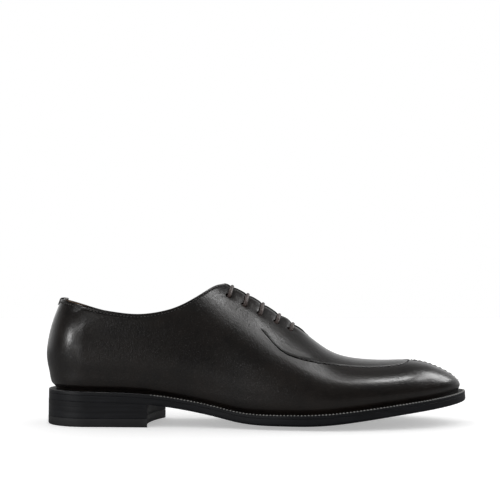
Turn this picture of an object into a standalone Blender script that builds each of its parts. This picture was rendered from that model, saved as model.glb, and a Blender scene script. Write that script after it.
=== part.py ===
# Whole cut oxford, right shoe, built on the form of its last.
# Lengths are in millimetres until a mesh is made, and the meshes are in metres.
# In the tables, along runs from the back of the sole to the toe tip, out is the distance from the
# centre plane, and up is the height above the floor. The frame's +X points to the toe and +Y to the
# medial side, so this right shoe has its outer side towards -Y.
import math

import bmesh
import bpy
import numpy as np

MM = 0.001
GAP = 0.3

# Sole
SOLE_LENGTH = 305.0
WELT_THICK = 2.4
OUTSOLE_THICK = 4.3
WELT_INSET = 0.5
OUTSOLE_TOP_INSET = 0.4
SOLE_CORNER = 0.8
HEEL_ROUND = 32.0
TOE_ROUND = 46.0
SOLE_SINK = 0.5
CROWN_FLAT = 10.0
CROWN_RISE = 4.5
CROWN_OUT = 54.0
CROWN_STARTS = 80.0
CROWN_FULL = 130.0

PLATE_STEP = 11.0
PLATE_CAP_STEPS = 7
PLATE_COLUMNS = (0, 0.45, 0.8, 1)
INSOLE_COLUMNS = (0, 0.5, 1)

# Heel
HEEL_LENGTH = 80.2
TOP_PIECE_THICK = 6.0
BREAST_HOLLOW = 5.0
BREAST_SKEW_DEG = 6.4
BREAST_STEPS = 6
HEEL_LEVELS = ((0.0, 0.3), (0.5, 0.5), (1.0, 0.2))
TOP_PIECE_LEVELS = ((0.0, 0.3), (0.88, 0.1), (1.0, 0.6))

# Upper
WALL = 2.0
UPPER_BACK = 3.4
UPPER_TOE = 300.8
UPPER_HEEL_ROUND = 29.0
UPPER_TOE_ROUND = 44.0
TOE_DOME = 26.0
FEATHER_FLARE = 0.5
FEATHER_PULL = 0.28
LOW_SIDE_PULL = 0.42
BACK_SHAPE_REACH = 75.0
SLIT_TOP = 129.0
SLIT_END = 188.0
SLIT_GAP = 2.0
SEAM_START = 156.0
SEAM_FRONT = 264.6
SEAM_RISE = 0.6
SEAM_FOOT = 1.4
SEAM_LEAST = 1.3
SEAM_FADE = 8.0
SEAM_TURN = 3.0
COLLAR_SEAM_ROW = 0.62
COLLAR_ROWS_REACH = 60.0
ROWS_BELOW_SEAM = 7
ROWS_ABOVE_SEAM = 5
CREST_CROWDING = 1.4
UPPER_STEP = 7.0
UPPER_CAP_STEPS = 7
LEAST_STEP = 1.2
UPPER_STATIONS = (SLIT_TOP - 5, SLIT_TOP - 1.5, SLIT_END, SEAM_START, SEAM_FRONT - 1, SEAM_FRONT)
SECTION_SAMPLES = 60

# Inside
INSOLE_THICK = 2.6
INSOLE_CLEAR = 0.6
TONGUE_TOP = 129.0
TONGUE_END = 198.0
TONGUE_THICK = 1.6
TONGUE_CLEAR = 0.6
TONGUE_HALF_TOP = 23.0
TONGUE_HALF_END = 15.0
TONGUE_COLUMNS = 11
TONGUE_ROWS = 5

# Laces and heel tab
LACE_RADIUS = 1.2
LACE_LEAN = 1.2
BAR_CROSSINGS = (134.5, 145.9, 157.1, 169.0, 179.0)
EYELET_OUT = (14.6, 16.2, 16.9, 15.3, 14.5)
BAR_STEPS = 5
TAB_HALF = 5.5
TAB_THICK = 0.9
TAB_OUTSIDE = 4.0
TAB_ROLL = 0.8
TAB_REACH = 3.9
TAB_INSIDE = 3.0
TAB_COLUMNS = 4
TAB_NARROWING = 0.82

# Half widths of the sole's edge, before the round heel and toe are cut from them.
SOLE_COLUMNS = ("along", "lateral", "medial")
SOLE_ROWS = (
    (0, 32.5, 31.0),
    (35, 33.3, 30.2),
    (77, 34.8, 28.4),
    (105, 36.5, 26.8),
    (130, 41.0, 28.6),
    (155, 47.8, 35.0),
    (180, 52.8, 43.0),
    (200, 54.5, 48.2),
    (220, 53.3, 51.2),
    (240, 49.2, 50.6),
    (259, 43.3, 46.6),
    (280, 36.3, 40.3),
    (305, 29.5, 33.5),
)

# Height of the welt's top along the centre line: heel seat, waist, tread and toe spring.
SEAT_ROWS = (
    (0, 25.9),
    (40, 25.0),
    (70, 23.9),
    (86, 22.2),
    (105, 18.6),
    (125, 13.5),
    (140, 9.7),
    (155, 7.7),
    (172, 7.0),
    (188, 6.8),
    (204, 7.6),
    (222, 9.8),
    (249, 14.2),
    (276, 18.9),
    (305, 24.5),
)

# Sections of the last, with the leather on it. Feather is the line where the upper meets the welt.
LAST_COLUMNS = (
    "along",
    "feather_lateral",
    "feather_medial",
    "widest_lateral",
    "widest_medial",
    "widest_up",
    "side_pull",
    "top_pull",
)
LAST_ROWS = (
    (4, 29.0, 27.6, 33.2, 31.4, 22.0, 0.55, 0.62),
    (30, 29.5, 26.8, 33.8, 31.4, 22.0, 0.55, 0.62),
    (60, 30.2, 25.6, 34.8, 31.6, 22.0, 0.55, 0.58),
    (90, 31.8, 24.0, 36.2, 31.8, 22.0, 0.54, 0.50),
    (120, 35.2, 24.4, 38.8, 32.8, 21.0, 0.52, 0.34),
    (150, 41.8, 29.4, 44.6, 36.0, 18.0, 0.49, 0.29),
    (175, 46.9, 36.6, 49.3, 41.4, 15.0, 0.48, 0.32),
    (200, 49.2, 42.9, 51.5, 46.6, 12.5, 0.51, 0.46),
    (225, 46.9, 46.0, 49.2, 48.8, 10.5, 0.54, 0.58),
    (250, 40.5, 43.4, 42.6, 45.6, 8.5, 0.56, 0.60),
    (275, 33.0, 36.6, 34.7, 38.2, 6.6, 0.56, 0.60),
    (300, 25.6, 29.4, 26.8, 30.6, 4.2, 0.56, 0.60),
)

# The crest of the last. Behind the lacing it is the top of the last's cone, which the collar cuts.
RIDGE_ROWS = (
    (0, 122.0),
    (50, 120.0),
    (90, 116.0),
    (112, 110.5),
    (130, 101.0),
    (150, 90.3),
    (170, 77.2),
    (185, 67.2),
    (195, 59.8),
    (203, 54.1),
    (212, 49.7),
    (222, 47.2),
    (235, 45.8),
    (250, 45.5),
    (265, 45.5),
    (274, 44.0),
    (283, 41.8),
    (300, 38.5),
)

# The curve of the back seam, as up and along.
BACK_ROWS = (
    (27, 3.4),
    (34, 1.9),
    (41, 0.0),
    (50, -1.2),
    (60, -0.3),
    (72, 2.4),
    (84, 6.8),
    (96, 11.1),
    (122, 20.0),
)

# Height of the collar's edge on each side, from the back seam to the top of the lacing.
TOPLINE_COLUMNS = ("along", "lateral", "medial")
TOPLINE_ROWS = (
    (3.4, 90.3, 90.3),
    (16, 88.4, 86.8),
    (34, 84.4, 81.8),
    (54, 80.9, 78.7),
    (69, 79.7, 78.5),
    (82, 81.0, 80.6),
    (97, 85.2, 85.2),
    (107, 90.3, 90.3),
    (116, 96.0, 96.0),
    (123, 100.1, 100.1),
    (129, 101.4, 101.4),
)

# The apron seam on the outer side, from its start below the lacing to the split toe.
SEAM_ROWS = (
    (156, 69.0),
    (160, 64.6),
    (165, 58.9),
    (171, 53.6),
    (180, 49.6),
    (192, 46.6),
    (205, 44.2),
    (222, 42.4),
    (238, 42.0),
    (248, 42.5),
    (256, 43.6),
    (262, 45.0),
)

FINISHES = {
    "upper_leather": ((0.022, 0.017, 0.014), 0.32),
    "lining_leather": ((0.42, 0.26, 0.15), 0.65),
    "sole_edge": ((0.012, 0.013, 0.017), 0.45),
    "heel_rubber": ((0.012, 0.013, 0.016), 0.60),
    "waxed_cord": ((0.075, 0.05, 0.042), 0.70),
}


class Curve:
    """A smooth line through rows of two numbers, which runs on straight past both ends."""

    def __init__(self, rows):
        self.at, self.value = np.array(rows, float).T
        step = np.diff(self.at)
        slope = np.diff(self.value) / step
        count = len(self.at)
        system = np.eye(count)
        bend = np.zeros(count)
        for i in range(1, count - 1):
            system[i, i - 1 : i + 2] = step[i - 1], 2 * (step[i - 1] + step[i]), step[i]
            bend[i] = 6 * (slope[i] - slope[i - 1])
        self.bend = np.linalg.solve(system, bend)

    def __call__(self, at):
        at = np.asarray(at, float)
        inside = np.clip(at, self.at[0], self.at[-1])
        i = np.clip(np.searchsorted(self.at, inside) - 1, 0, len(self.at) - 2)
        step = self.at[i + 1] - self.at[i]
        before = (self.at[i + 1] - inside) / step
        after = 1 - before
        low, high = self.bend[i], self.bend[i + 1]
        value = before * self.value[i] + after * self.value[i + 1]
        value += ((before**3 - before) * low + (after**3 - after) * high) * step**2 / 6
        rise = (self.value[i + 1] - self.value[i]) / step
        rise += ((1 - 3 * before**2) * low + (3 * after**2 - 1) * high) * step / 6
        return value + rise * (at - inside)


def columns_of(names, rows):
    """One Curve for each named column of a table, over its first column."""
    table = np.array(rows, float)
    return {
        name: Curve(np.column_stack((table[:, 0], table[:, i])))
        for i, name in enumerate(names)
        if i
    }


SOLE = columns_of(SOLE_COLUMNS, SOLE_ROWS)
LAST = columns_of(LAST_COLUMNS, LAST_ROWS)
SEAT = Curve(SEAT_ROWS)
RIDGE = Curve(RIDGE_ROWS)
BACK = Curve(BACK_ROWS)
TOPLINE = columns_of(TOPLINE_COLUMNS, TOPLINE_ROWS)
SEAM = Curve(SEAM_ROWS)
LATERAL, MEDIAL = "lateral", "medial"
SIGN = {LATERAL: -1, MEDIAL: 1}
SOLE_PLAN = (0, SOLE_LENGTH, HEEL_ROUND, TOE_ROUND, (SOLE[LATERAL], SOLE[MEDIAL]))
FEATHER_PLAN = (
    UPPER_BACK,
    UPPER_TOE,
    UPPER_HEEL_ROUND,
    UPPER_TOE_ROUND,
    (LAST["feather_lateral"], LAST["feather_medial"]),
)


def smooth_step(value):
    """Runs from 0 to 1 with soft ends."""
    value = np.clip(value, 0, 1)
    return value * value * (3 - 2 * value)


def round_end(distance, reach):
    """Grows from 0 at an end to 1 at reach, as the side of an ellipse does."""
    left = np.clip(1 - np.asarray(distance, float) / reach, 0, 1)
    return np.sqrt(1 - left * left)


def along_stations(start, end, heel_round, toe_round, step, cap_steps):
    """Stations along the shoe: close together at the round ends and evenly spaced between them."""
    turn = 1 - np.cos(np.linspace(0, math.pi / 2, cap_steps + 1))
    first, last = start + heel_round, end - toe_round
    middle = np.linspace(first, last, max(2, round((last - first) / step)) + 1)
    return np.concatenate((start + heel_round * turn[:-1], middle, end - toe_round * turn[-2::-1]))


def footbed(along, out):
    """Height of the welt's top, which is crowned across the tread and flat at the heel seat."""
    spread = np.clip(np.abs(out) - CROWN_FLAT, 0, None) / (CROWN_OUT - CROWN_FLAT)
    grown = smooth_step((along - CROWN_STARTS) / (CROWN_FULL - CROWN_STARTS))
    return SEAT(along) - SOLE_SINK + CROWN_RISE * spread**2 * grown


def outsole_bottom(along, out):
    """The outsole's underside, worn flat where it treads on the floor."""
    height = footbed(along, out) - WELT_THICK - GAP - OUTSOLE_THICK
    return np.maximum(height, 0)


def bezier(p0, p1, p2, p3, t):
    t = t[:, None]
    p0, p1, p2, p3 = (np.array(p, float) for p in (p0, p1, p2, p3))
    return (1 - t) ** 3 * p0 + 3 * (1 - t) ** 2 * t * p1 + 3 * (1 - t) * t**2 * p2 + t**3 * p3


def last_section(along, side):
    """Points (out, up) over one side of the last, from the feather to the crest."""
    ends = round_end(along - UPPER_BACK, UPPER_HEEL_ROUND)
    ends = float(ends * round_end(UPPER_TOE - along, UPPER_TOE_ROUND))
    row = {name: float(curve(along)) for name, curve in LAST.items()}
    feather = row["feather_" + side] * ends
    widest = row["widest_" + side] * ends
    low = float(footbed(along, feather)) + GAP
    widest_up = low + row["widest_up"]
    dome = float(round_end(UPPER_TOE - along, TOE_DOME))
    crest = widest_up + (float(RIDGE(along)) - widest_up) * dome
    t = np.linspace(0, 1, SECTION_SAMPLES)
    lower = bezier(
        (feather, low),
        (feather + FEATHER_FLARE * (widest - feather), low + FEATHER_PULL * row["widest_up"]),
        (widest, widest_up - LOW_SIDE_PULL * row["widest_up"]),
        (widest, widest_up),
        t,
    )
    upper = bezier(
        (widest, widest_up),
        (widest, widest_up + row["side_pull"] * (crest - widest_up)),
        (row["top_pull"] * widest, crest),
        (0, crest),
        t,
    )
    return np.concatenate((lower, upper[1:]))


def arc_lengths(points):
    return np.concatenate(([0], np.cumsum(np.linalg.norm(np.diff(points, axis=0), axis=1))))


def slit_half_gap(along):
    """Half of the gap between the facings, which closes at the foot of the lacing."""
    return SLIT_GAP / 2 * round_end(SLIT_END - along, SLIT_END - SLIT_TOP)


def trimmed_section(along, side):
    """The section as the upper covers it: cut at the collar, at the lacing slit, or not at all."""
    points = last_section(along, side)
    length = arc_lengths(points)
    if along < SLIT_END:
        half = slit_half_gap(along)
        end = np.interp(-half, -points[:, 0], length) if points[:, 0].max() > half else length[-1]
        if along <= SLIT_TOP:
            end = min(end, np.interp(float(TOPLINE[side](along)), points[:, 1], length))
    else:
        end = length[-1]
    return points, length, end


def back_shift(along, up):
    """How far the rounded back seam moves a point of the heel from its station."""
    fade = np.clip(1 - (along - UPPER_BACK) / BACK_SHAPE_REACH, 0, 1) ** 2
    return (BACK(up) - UPPER_BACK) * fade


def seam_over(along):
    """Distance of the apron seam from the crest, over the leather; past the apron, a seam's foot."""
    if along >= SEAM_FRONT:
        return SEAM_LEAST
    points = last_section(along, LATERAL)
    length = arc_lengths(points)
    down = min(float(SEAM(along)), points[-1, 1])
    over = length[-1] - np.interp(down, points[:, 1], length)
    return max(SEAM_LEAST, over * smooth_step((SEAM_FRONT - along) / SEAM_TURN))


def seam_arc(along, side, end):
    """Where the seam's row lies on a trimmed section, measured from the feather."""
    total = arc_lengths(last_section(along, side))[-1]
    if along >= SEAM_START:
        return total - seam_over(along)
    at_start = arc_lengths(last_section(SEAM_START, side))[-1]
    share = 1 - seam_over(SEAM_START) / at_start
    mix = smooth_step((SEAM_START - along) / COLLAR_ROWS_REACH)
    return end * (share * (1 - mix) + COLLAR_SEAM_ROW * mix)


def row_arcs(along, side, end):
    """Arc positions of the rows of one section, with three rows along the seam."""
    seam = seam_arc(along, side, end)
    above = min(seam + SEAM_FOOT, seam + 0.4 * (end - seam))
    lower = np.linspace(0, seam - SEAM_FOOT, ROWS_BELOW_SEAM + 1)
    crowded = 1 - np.linspace(1, 0, ROWS_ABOVE_SEAM + 1) ** CREST_CROWDING
    upper = above + (end - above) * crowded
    return np.concatenate((lower, [seam], upper))


def upper_rows(along, side):
    """One column of the upper's outer surface, from the feather to its top edge."""
    points, length, end = trimmed_section(along, side)
    arcs = row_arcs(along, side, end)
    out = np.interp(arcs, length, points[:, 0])
    up = np.interp(arcs, length, points[:, 1])
    return np.column_stack((along + back_shift(along, up), SIGN[side] * out, up))


def surface_normals(grid, side):
    """Outward normals of a grid of points, stations by rows."""
    normal = np.cross(np.gradient(grid, axis=1), np.gradient(grid, axis=0)) * SIGN[side]
    normal[0, :, 1] = normal[-1, :, 1] = 0
    level = normal[:, 0]
    level[:, 2] = 0
    length = np.linalg.norm(normal, axis=2, keepdims=True)
    return normal / np.maximum(length, 1e-9)


def seam_rise(along):
    """Height of the raised seam, which fades in where it starts."""
    return SEAM_RISE * smooth_step((along - SEAM_START) / SEAM_FADE)


def upper_grids(stations, side):
    """The outer and the inner surface of one side of the upper."""
    outer = np.array([upper_rows(along, side) for along in stations])
    normal = surface_normals(outer, side)
    closed = stations >= SLIT_END
    normal[closed, -1, 1] = 0
    normal /= np.maximum(np.linalg.norm(normal, axis=2, keepdims=True), 1e-9)
    inner = outer - WALL * normal
    seam_row = ROWS_BELOW_SEAM + 1
    toe_seam = stations >= SEAM_FRONT
    rise = np.array([seam_rise(along) for along in stations])[:, None]
    outer[~toe_seam, seam_row] += (rise * normal[:, seam_row])[~toe_seam]
    outer[toe_seam, -1] += (rise * normal[:, -1])[toe_seam]
    return outer, inner


def meet_at_centre(lateral, medial, closed):
    """Brings the two halves to one line where the leather runs unbroken over the crest."""
    middle = (lateral[closed, -1] + medial[closed, -1]) / 2
    middle[:, 1] = 0
    lateral[closed, -1] = medial[closed, -1] = middle


def surface_point(along, over, side, lift):
    """A point at a distance over the leather from the crest, and lift above the leather."""
    near = np.array([along - 0.5, along, along + 0.5])
    columns = []
    for station in near:
        points = last_section(station, side)
        length = arc_lengths(points)
        arcs = length[-1] - np.array([over + 0.5, over, max(over - 0.5, 0)])
        out = np.interp(arcs, length, points[:, 0])
        up = np.interp(arcs, length, points[:, 1])
        columns.append(np.column_stack((station + back_shift(station, up), SIGN[side] * out, up)))
    grid = np.array(columns)
    normal = np.cross(grid[1, 2] - grid[1, 0], grid[2, 1] - grid[0, 1]) * SIGN[side]
    if over < 0.01:
        normal[1] = 0
    return grid[1, 1] + lift * normal / np.linalg.norm(normal)


def centre_of_part():
    """The middle of the shoe's box in plan, which is the frame's origin."""
    along = np.linspace(0, SOLE_LENGTH, 400)
    ends = round_end(along, HEEL_ROUND) * round_end(SOLE_LENGTH - along, TOE_ROUND)
    lateral, medial = ((SOLE[side](along) * ends).max() for side in (LATERAL, MEDIAL))
    back = min(0.0, float(BACK(np.linspace(30, 80, 100)).min()))
    return np.array(((SOLE_LENGTH + back) / 2, (medial - lateral) / 2, 0))


ORIGIN = centre_of_part()


def add_object(name, points, faces, finish, weld=False):
    """Makes a mesh object from points in the shoe's millimetres."""
    mesh = bpy.data.meshes.new(name)
    placed = (np.asarray(points, float).reshape(-1, 3) - ORIGIN) * MM
    mesh.from_pydata(placed.tolist(), [], faces)
    shape = bmesh.new()
    shape.from_mesh(mesh)
    if weld:
        bmesh.ops.remove_doubles(shape, verts=shape.verts, dist=2e-6)
        bmesh.ops.dissolve_degenerate(shape, edges=shape.edges, dist=1e-7)
    bmesh.ops.recalc_face_normals(shape, faces=shape.faces)
    shape.to_mesh(mesh)
    shape.free()
    mesh.shade_smooth()
    mesh.set_sharp_from_angle(angle=math.radians(40))
    mesh.materials.append(MATERIALS[finish])
    item = bpy.data.objects.new(name, mesh)
    bpy.context.scene.collection.objects.link(item)
    return item


def grid_faces(columns, rows, first=0):
    """Quads over a grid of points stored column by column."""
    return [
        (first + i * rows + j, first + (i + 1) * rows + j, first + (i + 1) * rows + j + 1,
         first + i * rows + j + 1)
        for i in range(columns - 1)
        for j in range(rows - 1)
    ]


def edge_strip(one, other):
    """Quads between two rows of point numbers."""
    return [(a, b, d, c) for a, b, c, d in zip(one, one[1:], other, other[1:])]


def shell(name, outer_grids, inner_grids, finish, sides_closed):
    """A wall between two surfaces, each a list of grids, with its open edges closed by strips."""
    points, faces = [], []
    for outer, inner in zip(outer_grids, inner_grids):
        columns, rows = outer.shape[:2]
        first = len(points)
        points.extend(outer.reshape(-1, 3))
        second = len(points)
        points.extend(inner.reshape(-1, 3))
        faces += grid_faces(columns, rows, first) + grid_faces(columns, rows, second)
        for row, wanted in sides_closed(columns, rows):
            faces += edge_strip([first + k for k in row], [second + k for k in row]) * wanted
    return add_object(name, points, faces, finish, weld=True)


def build_upper():
    """One piece of leather, open at the collar, the lacing slit and underneath."""
    stations = along_stations(*FEATHER_PLAN[:4], step=UPPER_STEP, cap_steps=UPPER_CAP_STEPS)
    apart = np.abs(stations[:, None] - np.array(UPPER_STATIONS)).min(axis=1) > LEAST_STEP
    stations = np.sort(np.concatenate((stations[apart], UPPER_STATIONS)))
    grids = [upper_grids(stations, side) for side in (LATERAL, MEDIAL)]
    slit_columns = int(np.searchsorted(stations, SLIT_END)) + 1
    for surface in (0, 1):
        meet_at_centre(grids[0][surface], grids[1][surface], stations >= SLIT_END)

    def open_edges(columns, rows):
        yield [i * rows for i in range(columns)], 1
        yield [i * rows + rows - 1 for i in range(slit_columns)], 1

    outer, inner = zip(*grids)
    return shell("upper", outer, inner, "upper_leather", open_edges)


def outline(along, inset, start, end, heel_round, toe_round, widths):
    """A place along a plan outline moved in by inset, and its lateral and medial half widths."""
    at = start + inset + (along - start) * (1 - 2 * inset / (end - start))
    ends = round_end(at - start - inset, heel_round - inset)
    ends = ends * round_end(end - inset - at, toe_round - inset)
    return (at, *(float((width(at) - inset) * ends) for width in widths))


def build_plate(name, plan, step, levels, finish, columns):
    """A curved plate. Levels are (height function, inset), from the top down."""
    stations = along_stations(*plan[:4], step=step, cap_steps=PLATE_CAP_STEPS)
    shares = [-column for column in reversed(columns)] + list(columns[1:])
    points, faces, edges = [], [], None
    for number, (height, inset) in enumerate(levels):
        covered = number in (0, len(levels) - 1)
        used = shares if covered else (-1, 1)
        first = len(points)
        for along in stations:
            at, lateral, medial = outline(along, inset, *plan)
            for share in used:
                out = share * (medial if share > 0 else lateral)
                points.append((at, out, float(height(at, out))))
        if covered:
            faces += grid_faces(len(stations), len(used), first)
        above = edges
        columns_at = (0, len(used) - 1)
        edges = [[first + i * len(used) + k for i in range(len(stations))] for k in columns_at]
        if above:
            faces += edge_strip(above[0], edges[0]) + edge_strip(above[1], edges[1])
    return add_object(name, points, faces, finish, weld=True)


def build_sole_plates():
    def below(drop):
        return lambda along, out: footbed(along, out) - drop

    build_plate(
        "welt",
        SOLE_PLAN,
        PLATE_STEP,
        ((footbed, WELT_INSET), (below(WELT_THICK), WELT_INSET)),
        "sole_edge",
        PLATE_COLUMNS,
    )
    build_plate(
        "outsole",
        SOLE_PLAN,
        PLATE_STEP,
        (
            (below(WELT_THICK + GAP), OUTSOLE_TOP_INSET),
            (lambda along, out: outsole_bottom(along, out) + SOLE_CORNER, 0.0),
            (outsole_bottom, SOLE_CORNER),
        ),
        "sole_edge",
        PLATE_COLUMNS,
    )
    build_plate(
        "insole",
        FEATHER_PLAN,
        PLATE_STEP,
        ((below(-GAP - INSOLE_THICK), WALL + INSOLE_CLEAR), (below(-GAP), WALL + INSOLE_CLEAR)),
        "lining_leather",
        INSOLE_COLUMNS,
    )


def heel_outline(inset):
    """Closed plan outline of the heel, with a hollow breast set square to the heel's own axis."""
    turn = 1 - np.cos(np.linspace(0, math.pi / 2, PLATE_CAP_STEPS + 1))
    stations = (*(HEEL_ROUND * turn), (HEEL_ROUND + HEEL_LENGTH) / 2, HEEL_LENGTH)
    rows = [outline(along, inset, *SOLE_PLAN) for along in stations]
    skew = math.tan(math.radians(BREAST_SKEW_DEG))
    lateral = [(at, -half) for at, half, _ in rows]
    medial = [(at, half) for at, _, half in rows]
    lateral[-1], medial[-1] = ((HEEL_LENGTH + skew * out, out) for _, out in (lateral[-1], medial[-1]))
    start, end = np.array(lateral[-1]), np.array(medial[-1])
    breast = []
    for share in np.linspace(0, 1, BREAST_STEPS + 1)[1:-1]:
        hollow = 4 * BREAST_HOLLOW * share * (1 - share)
        breast.append(tuple(start + (end - start) * share - (hollow, 0)))
    return lateral + breast + medial[:0:-1]


def build_heel_block(name, low, high, levels, finish):
    """A heel layer between two height functions, with an outline inset at each level."""
    loops = []
    for share, inset in levels:
        loop = []
        for along, out in heel_outline(inset):
            up = (1 - share) * high(along, out) + share * low(along, out)
            loop.append((along, out, float(up)))
        loops.append(loop)
    count = len(loops[0])
    points = [point for loop in loops for point in loop]
    faces = [tuple(range(count)), tuple(range(len(points) - count, len(points)))]
    for k in range(0, len(points) - count, count):
        ring = [k + i % count for i in range(count + 1)]
        faces += edge_strip(ring, [i + count for i in ring])
    add_object(name, points, faces, finish)


def build_heel():
    def stack_top(along, out):
        return footbed(along, 0) - WELT_THICK - OUTSOLE_THICK - 2 * GAP

    def stack_foot(along, out):
        return TOP_PIECE_THICK + GAP

    build_heel_block("heel_stack", stack_foot, stack_top, HEEL_LEVELS, "sole_edge")
    build_heel_block(
        "heel_top_piece",
        lambda along, out: 0.0,
        lambda along, out: TOP_PIECE_THICK,
        TOP_PIECE_LEVELS,
        "heel_rubber",
    )


def build_tongue():
    """The tongue follows the instep just under the facings."""
    stations = np.linspace(TONGUE_TOP, TONGUE_END, TONGUE_COLUMNS + 1)
    shares = np.linspace(-1, 1, 2 * TONGUE_ROWS + 1)
    top = -(WALL + TONGUE_CLEAR)
    grids = []
    for lift in (top, top - TONGUE_THICK):
        grid = []
        for along in stations:
            down = (along - TONGUE_TOP) / (TONGUE_END - TONGUE_TOP)
            half = TONGUE_HALF_TOP + (TONGUE_HALF_END - TONGUE_HALF_TOP) * down
            grid.append(
                [
                    surface_point(along, abs(s) * half, MEDIAL if s > 0 else LATERAL, lift)
                    for s in shares
                ]
            )
        grids.append(np.array(grid))

    def all_edges(columns, rows):
        yield [i * rows for i in range(columns)], 1
        yield [i * rows + rows - 1 for i in range(columns)], 1
        yield list(range(rows)), 1
        yield [(columns - 1) * rows + j for j in range(rows)], 1

    shell("tongue", grids[:1], grids[1:], "upper_leather", all_edges)


def build_lace_bars():
    """Five bars of cord over the closed facings, each ending above its two eyelets."""
    for number, (crossing, reach) in enumerate(zip(BAR_CROSSINGS, EYELET_OUT), 1):
        path = []
        for k in range(-BAR_STEPS, BAR_STEPS + 1):
            share = k / BAR_STEPS
            side = MEDIAL if share > 0 else LATERAL
            along = crossing - LACE_LEAN * abs(share)
            path.append(surface_point(along, abs(share) * reach, side, LACE_RADIUS + GAP))
        curve = bpy.data.curves.new(f"lace_bar_{number}", "CURVE")
        curve.dimensions = "3D"
        curve.bevel_depth = LACE_RADIUS * MM
        curve.bevel_resolution = 2
        curve.use_fill_caps = True
        spline = curve.splines.new("POLY")
        spline.points.add(len(path) - 1)
        for point, place in zip(spline.points, path):
            point.co = (*((place - ORIGIN) * MM), 1)
        curve.materials.append(MATERIALS["waxed_cord"])
        item = bpy.data.objects.new(f"lace_bar_{number}", curve)
        bpy.context.scene.collection.objects.link(item)


def tab_profile():
    """The tab's path in the centre plane, as (outward, up) pairs about the top of the back seam."""
    turn = np.linspace(0.15, math.pi, 7)
    middle = (GAP - TAB_REACH) / 2
    over = (TAB_REACH + GAP) / 2
    arch = [(middle + over * math.cos(a), GAP + TAB_ROLL * math.sin(a)) for a in turn]
    return [(GAP, -TAB_OUTSIDE), (GAP, -TAB_OUTSIDE / 2)] + arch + [(-TAB_REACH, -TAB_INSIDE)]


def build_heel_tab():
    """A narrow strip folded over the collar at the back seam."""
    profile = np.array(tab_profile())
    tangent = np.gradient(profile, axis=0)
    normal = np.column_stack((tangent[:, 1], -tangent[:, 0]))
    normal /= np.linalg.norm(normal, axis=1, keepdims=True)
    normal *= np.sign(normal[0, 0])
    grids = []
    for lift in (TAB_THICK, 0.0):
        grid = []
        for share in np.linspace(-1, 1, TAB_COLUMNS + 1):
            out = share * TAB_HALF
            side = MEDIAL if share > 0 else LATERAL
            bend = LAST["widest_" + side](UPPER_BACK) * TAB_NARROWING
            deep = UPPER_HEEL_ROUND * (1 - math.sqrt(1 - (out / bend) ** 2))
            top = float(TOPLINE[side](UPPER_BACK + deep))
            column = []
            for outward, up in profile + lift * normal:
                height = top + up
                back = float(BACK(height)) + deep
                column.append((back - outward, out, height))
            grid.append(column)
        grids.append(np.array(grid))

    def all_edges(columns, rows):
        yield [i * rows for i in range(columns)], 1
        yield [i * rows + rows - 1 for i in range(columns)], 1
        yield list(range(rows)), 1
        yield [(columns - 1) * rows + j for j in range(rows)], 1

    shell("heel_tab", grids[:1], grids[1:], "upper_leather", all_edges)


def make_materials():
    made = {}
    for name, (colour, roughness) in FINISHES.items():
        material = bpy.data.materials.new(name)
        material.use_nodes = True
        shader = material.node_tree.nodes["Principled BSDF"]
        shader.inputs["Base Color"].default_value = (*colour, 1)
        shader.inputs["Roughness"].default_value = roughness
        shader.inputs["Metallic"].default_value = 0
        material.diffuse_color = (*colour, 1)
        made[name] = material
    return made


def clear_scene():
    for item in list(bpy.data.objects):
        bpy.data.objects.remove(item, do_unlink=True)


clear_scene()
MATERIALS = make_materials()
build_sole_plates()
build_heel()
build_upper()
build_tongue()
build_lace_bars()
build_heel_tab()
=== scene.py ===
import math

import bmesh
import bpy
import numpy as np
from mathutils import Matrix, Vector
from mathutils.kdtree import KDTree


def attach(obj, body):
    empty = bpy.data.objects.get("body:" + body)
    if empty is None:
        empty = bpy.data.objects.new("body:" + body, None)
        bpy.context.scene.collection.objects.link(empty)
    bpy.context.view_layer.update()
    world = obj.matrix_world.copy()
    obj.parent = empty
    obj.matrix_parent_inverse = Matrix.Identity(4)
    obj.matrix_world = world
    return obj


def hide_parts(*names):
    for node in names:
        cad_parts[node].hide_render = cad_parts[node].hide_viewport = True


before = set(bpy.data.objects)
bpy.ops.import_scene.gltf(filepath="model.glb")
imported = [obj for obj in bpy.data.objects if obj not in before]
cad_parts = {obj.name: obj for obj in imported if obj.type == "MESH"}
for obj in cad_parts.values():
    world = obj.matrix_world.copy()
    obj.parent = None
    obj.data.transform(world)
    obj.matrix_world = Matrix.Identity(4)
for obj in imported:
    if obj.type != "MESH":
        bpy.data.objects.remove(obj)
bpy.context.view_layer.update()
print("frame loaded with", len(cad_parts), "nodes")

# The shoe's own sizes, in millimetres. Along runs from the back of the sole to the toe tip, out is the
# distance from the centre plane, up the height above the floor, and over the way over the leather
# from the crest of the last.
soleForm = {
    "length": 305.0,
    "heelRound": 32.0,
    "toeRound": 46.0,
    "sink": 0.5,  # the seat's line lies this far above the middle of the tread
    "crownFlat": 10.0,
    "crownRise": 4.5,
    "crownOut": 54.0,
    "crownStarts": 80.0,
    "crownFull": 130.0,
    "gap": 0.3,
    "weltThick": 2.4,
    "weltInset": 0.5,
    "outlineColumns": ("along", "lateral", "medial"),
    "outline": (
        (0, 32.5, 31.0), (35, 33.3, 30.2), (77, 34.8, 28.4), (105, 36.5, 26.8),
        (130, 41.0, 28.6), (155, 47.8, 35.0), (180, 52.8, 43.0), (200, 54.5, 48.2),
        (220, 53.3, 51.2), (240, 49.2, 50.6), (259, 43.3, 46.6), (280, 36.3, 40.3),
        (305, 29.5, 33.5),
    ),
    "seat": (
        (0, 25.9), (40, 25.0), (70, 23.9), (86, 22.2), (105, 18.6), (125, 13.5), (140, 9.7),
        (155, 7.7), (172, 7.0), (188, 6.8), (204, 7.6), (222, 9.8), (249, 14.2), (276, 18.9),
        (305, 24.5),
    ),
    "soleThick": 4.3,
}
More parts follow.
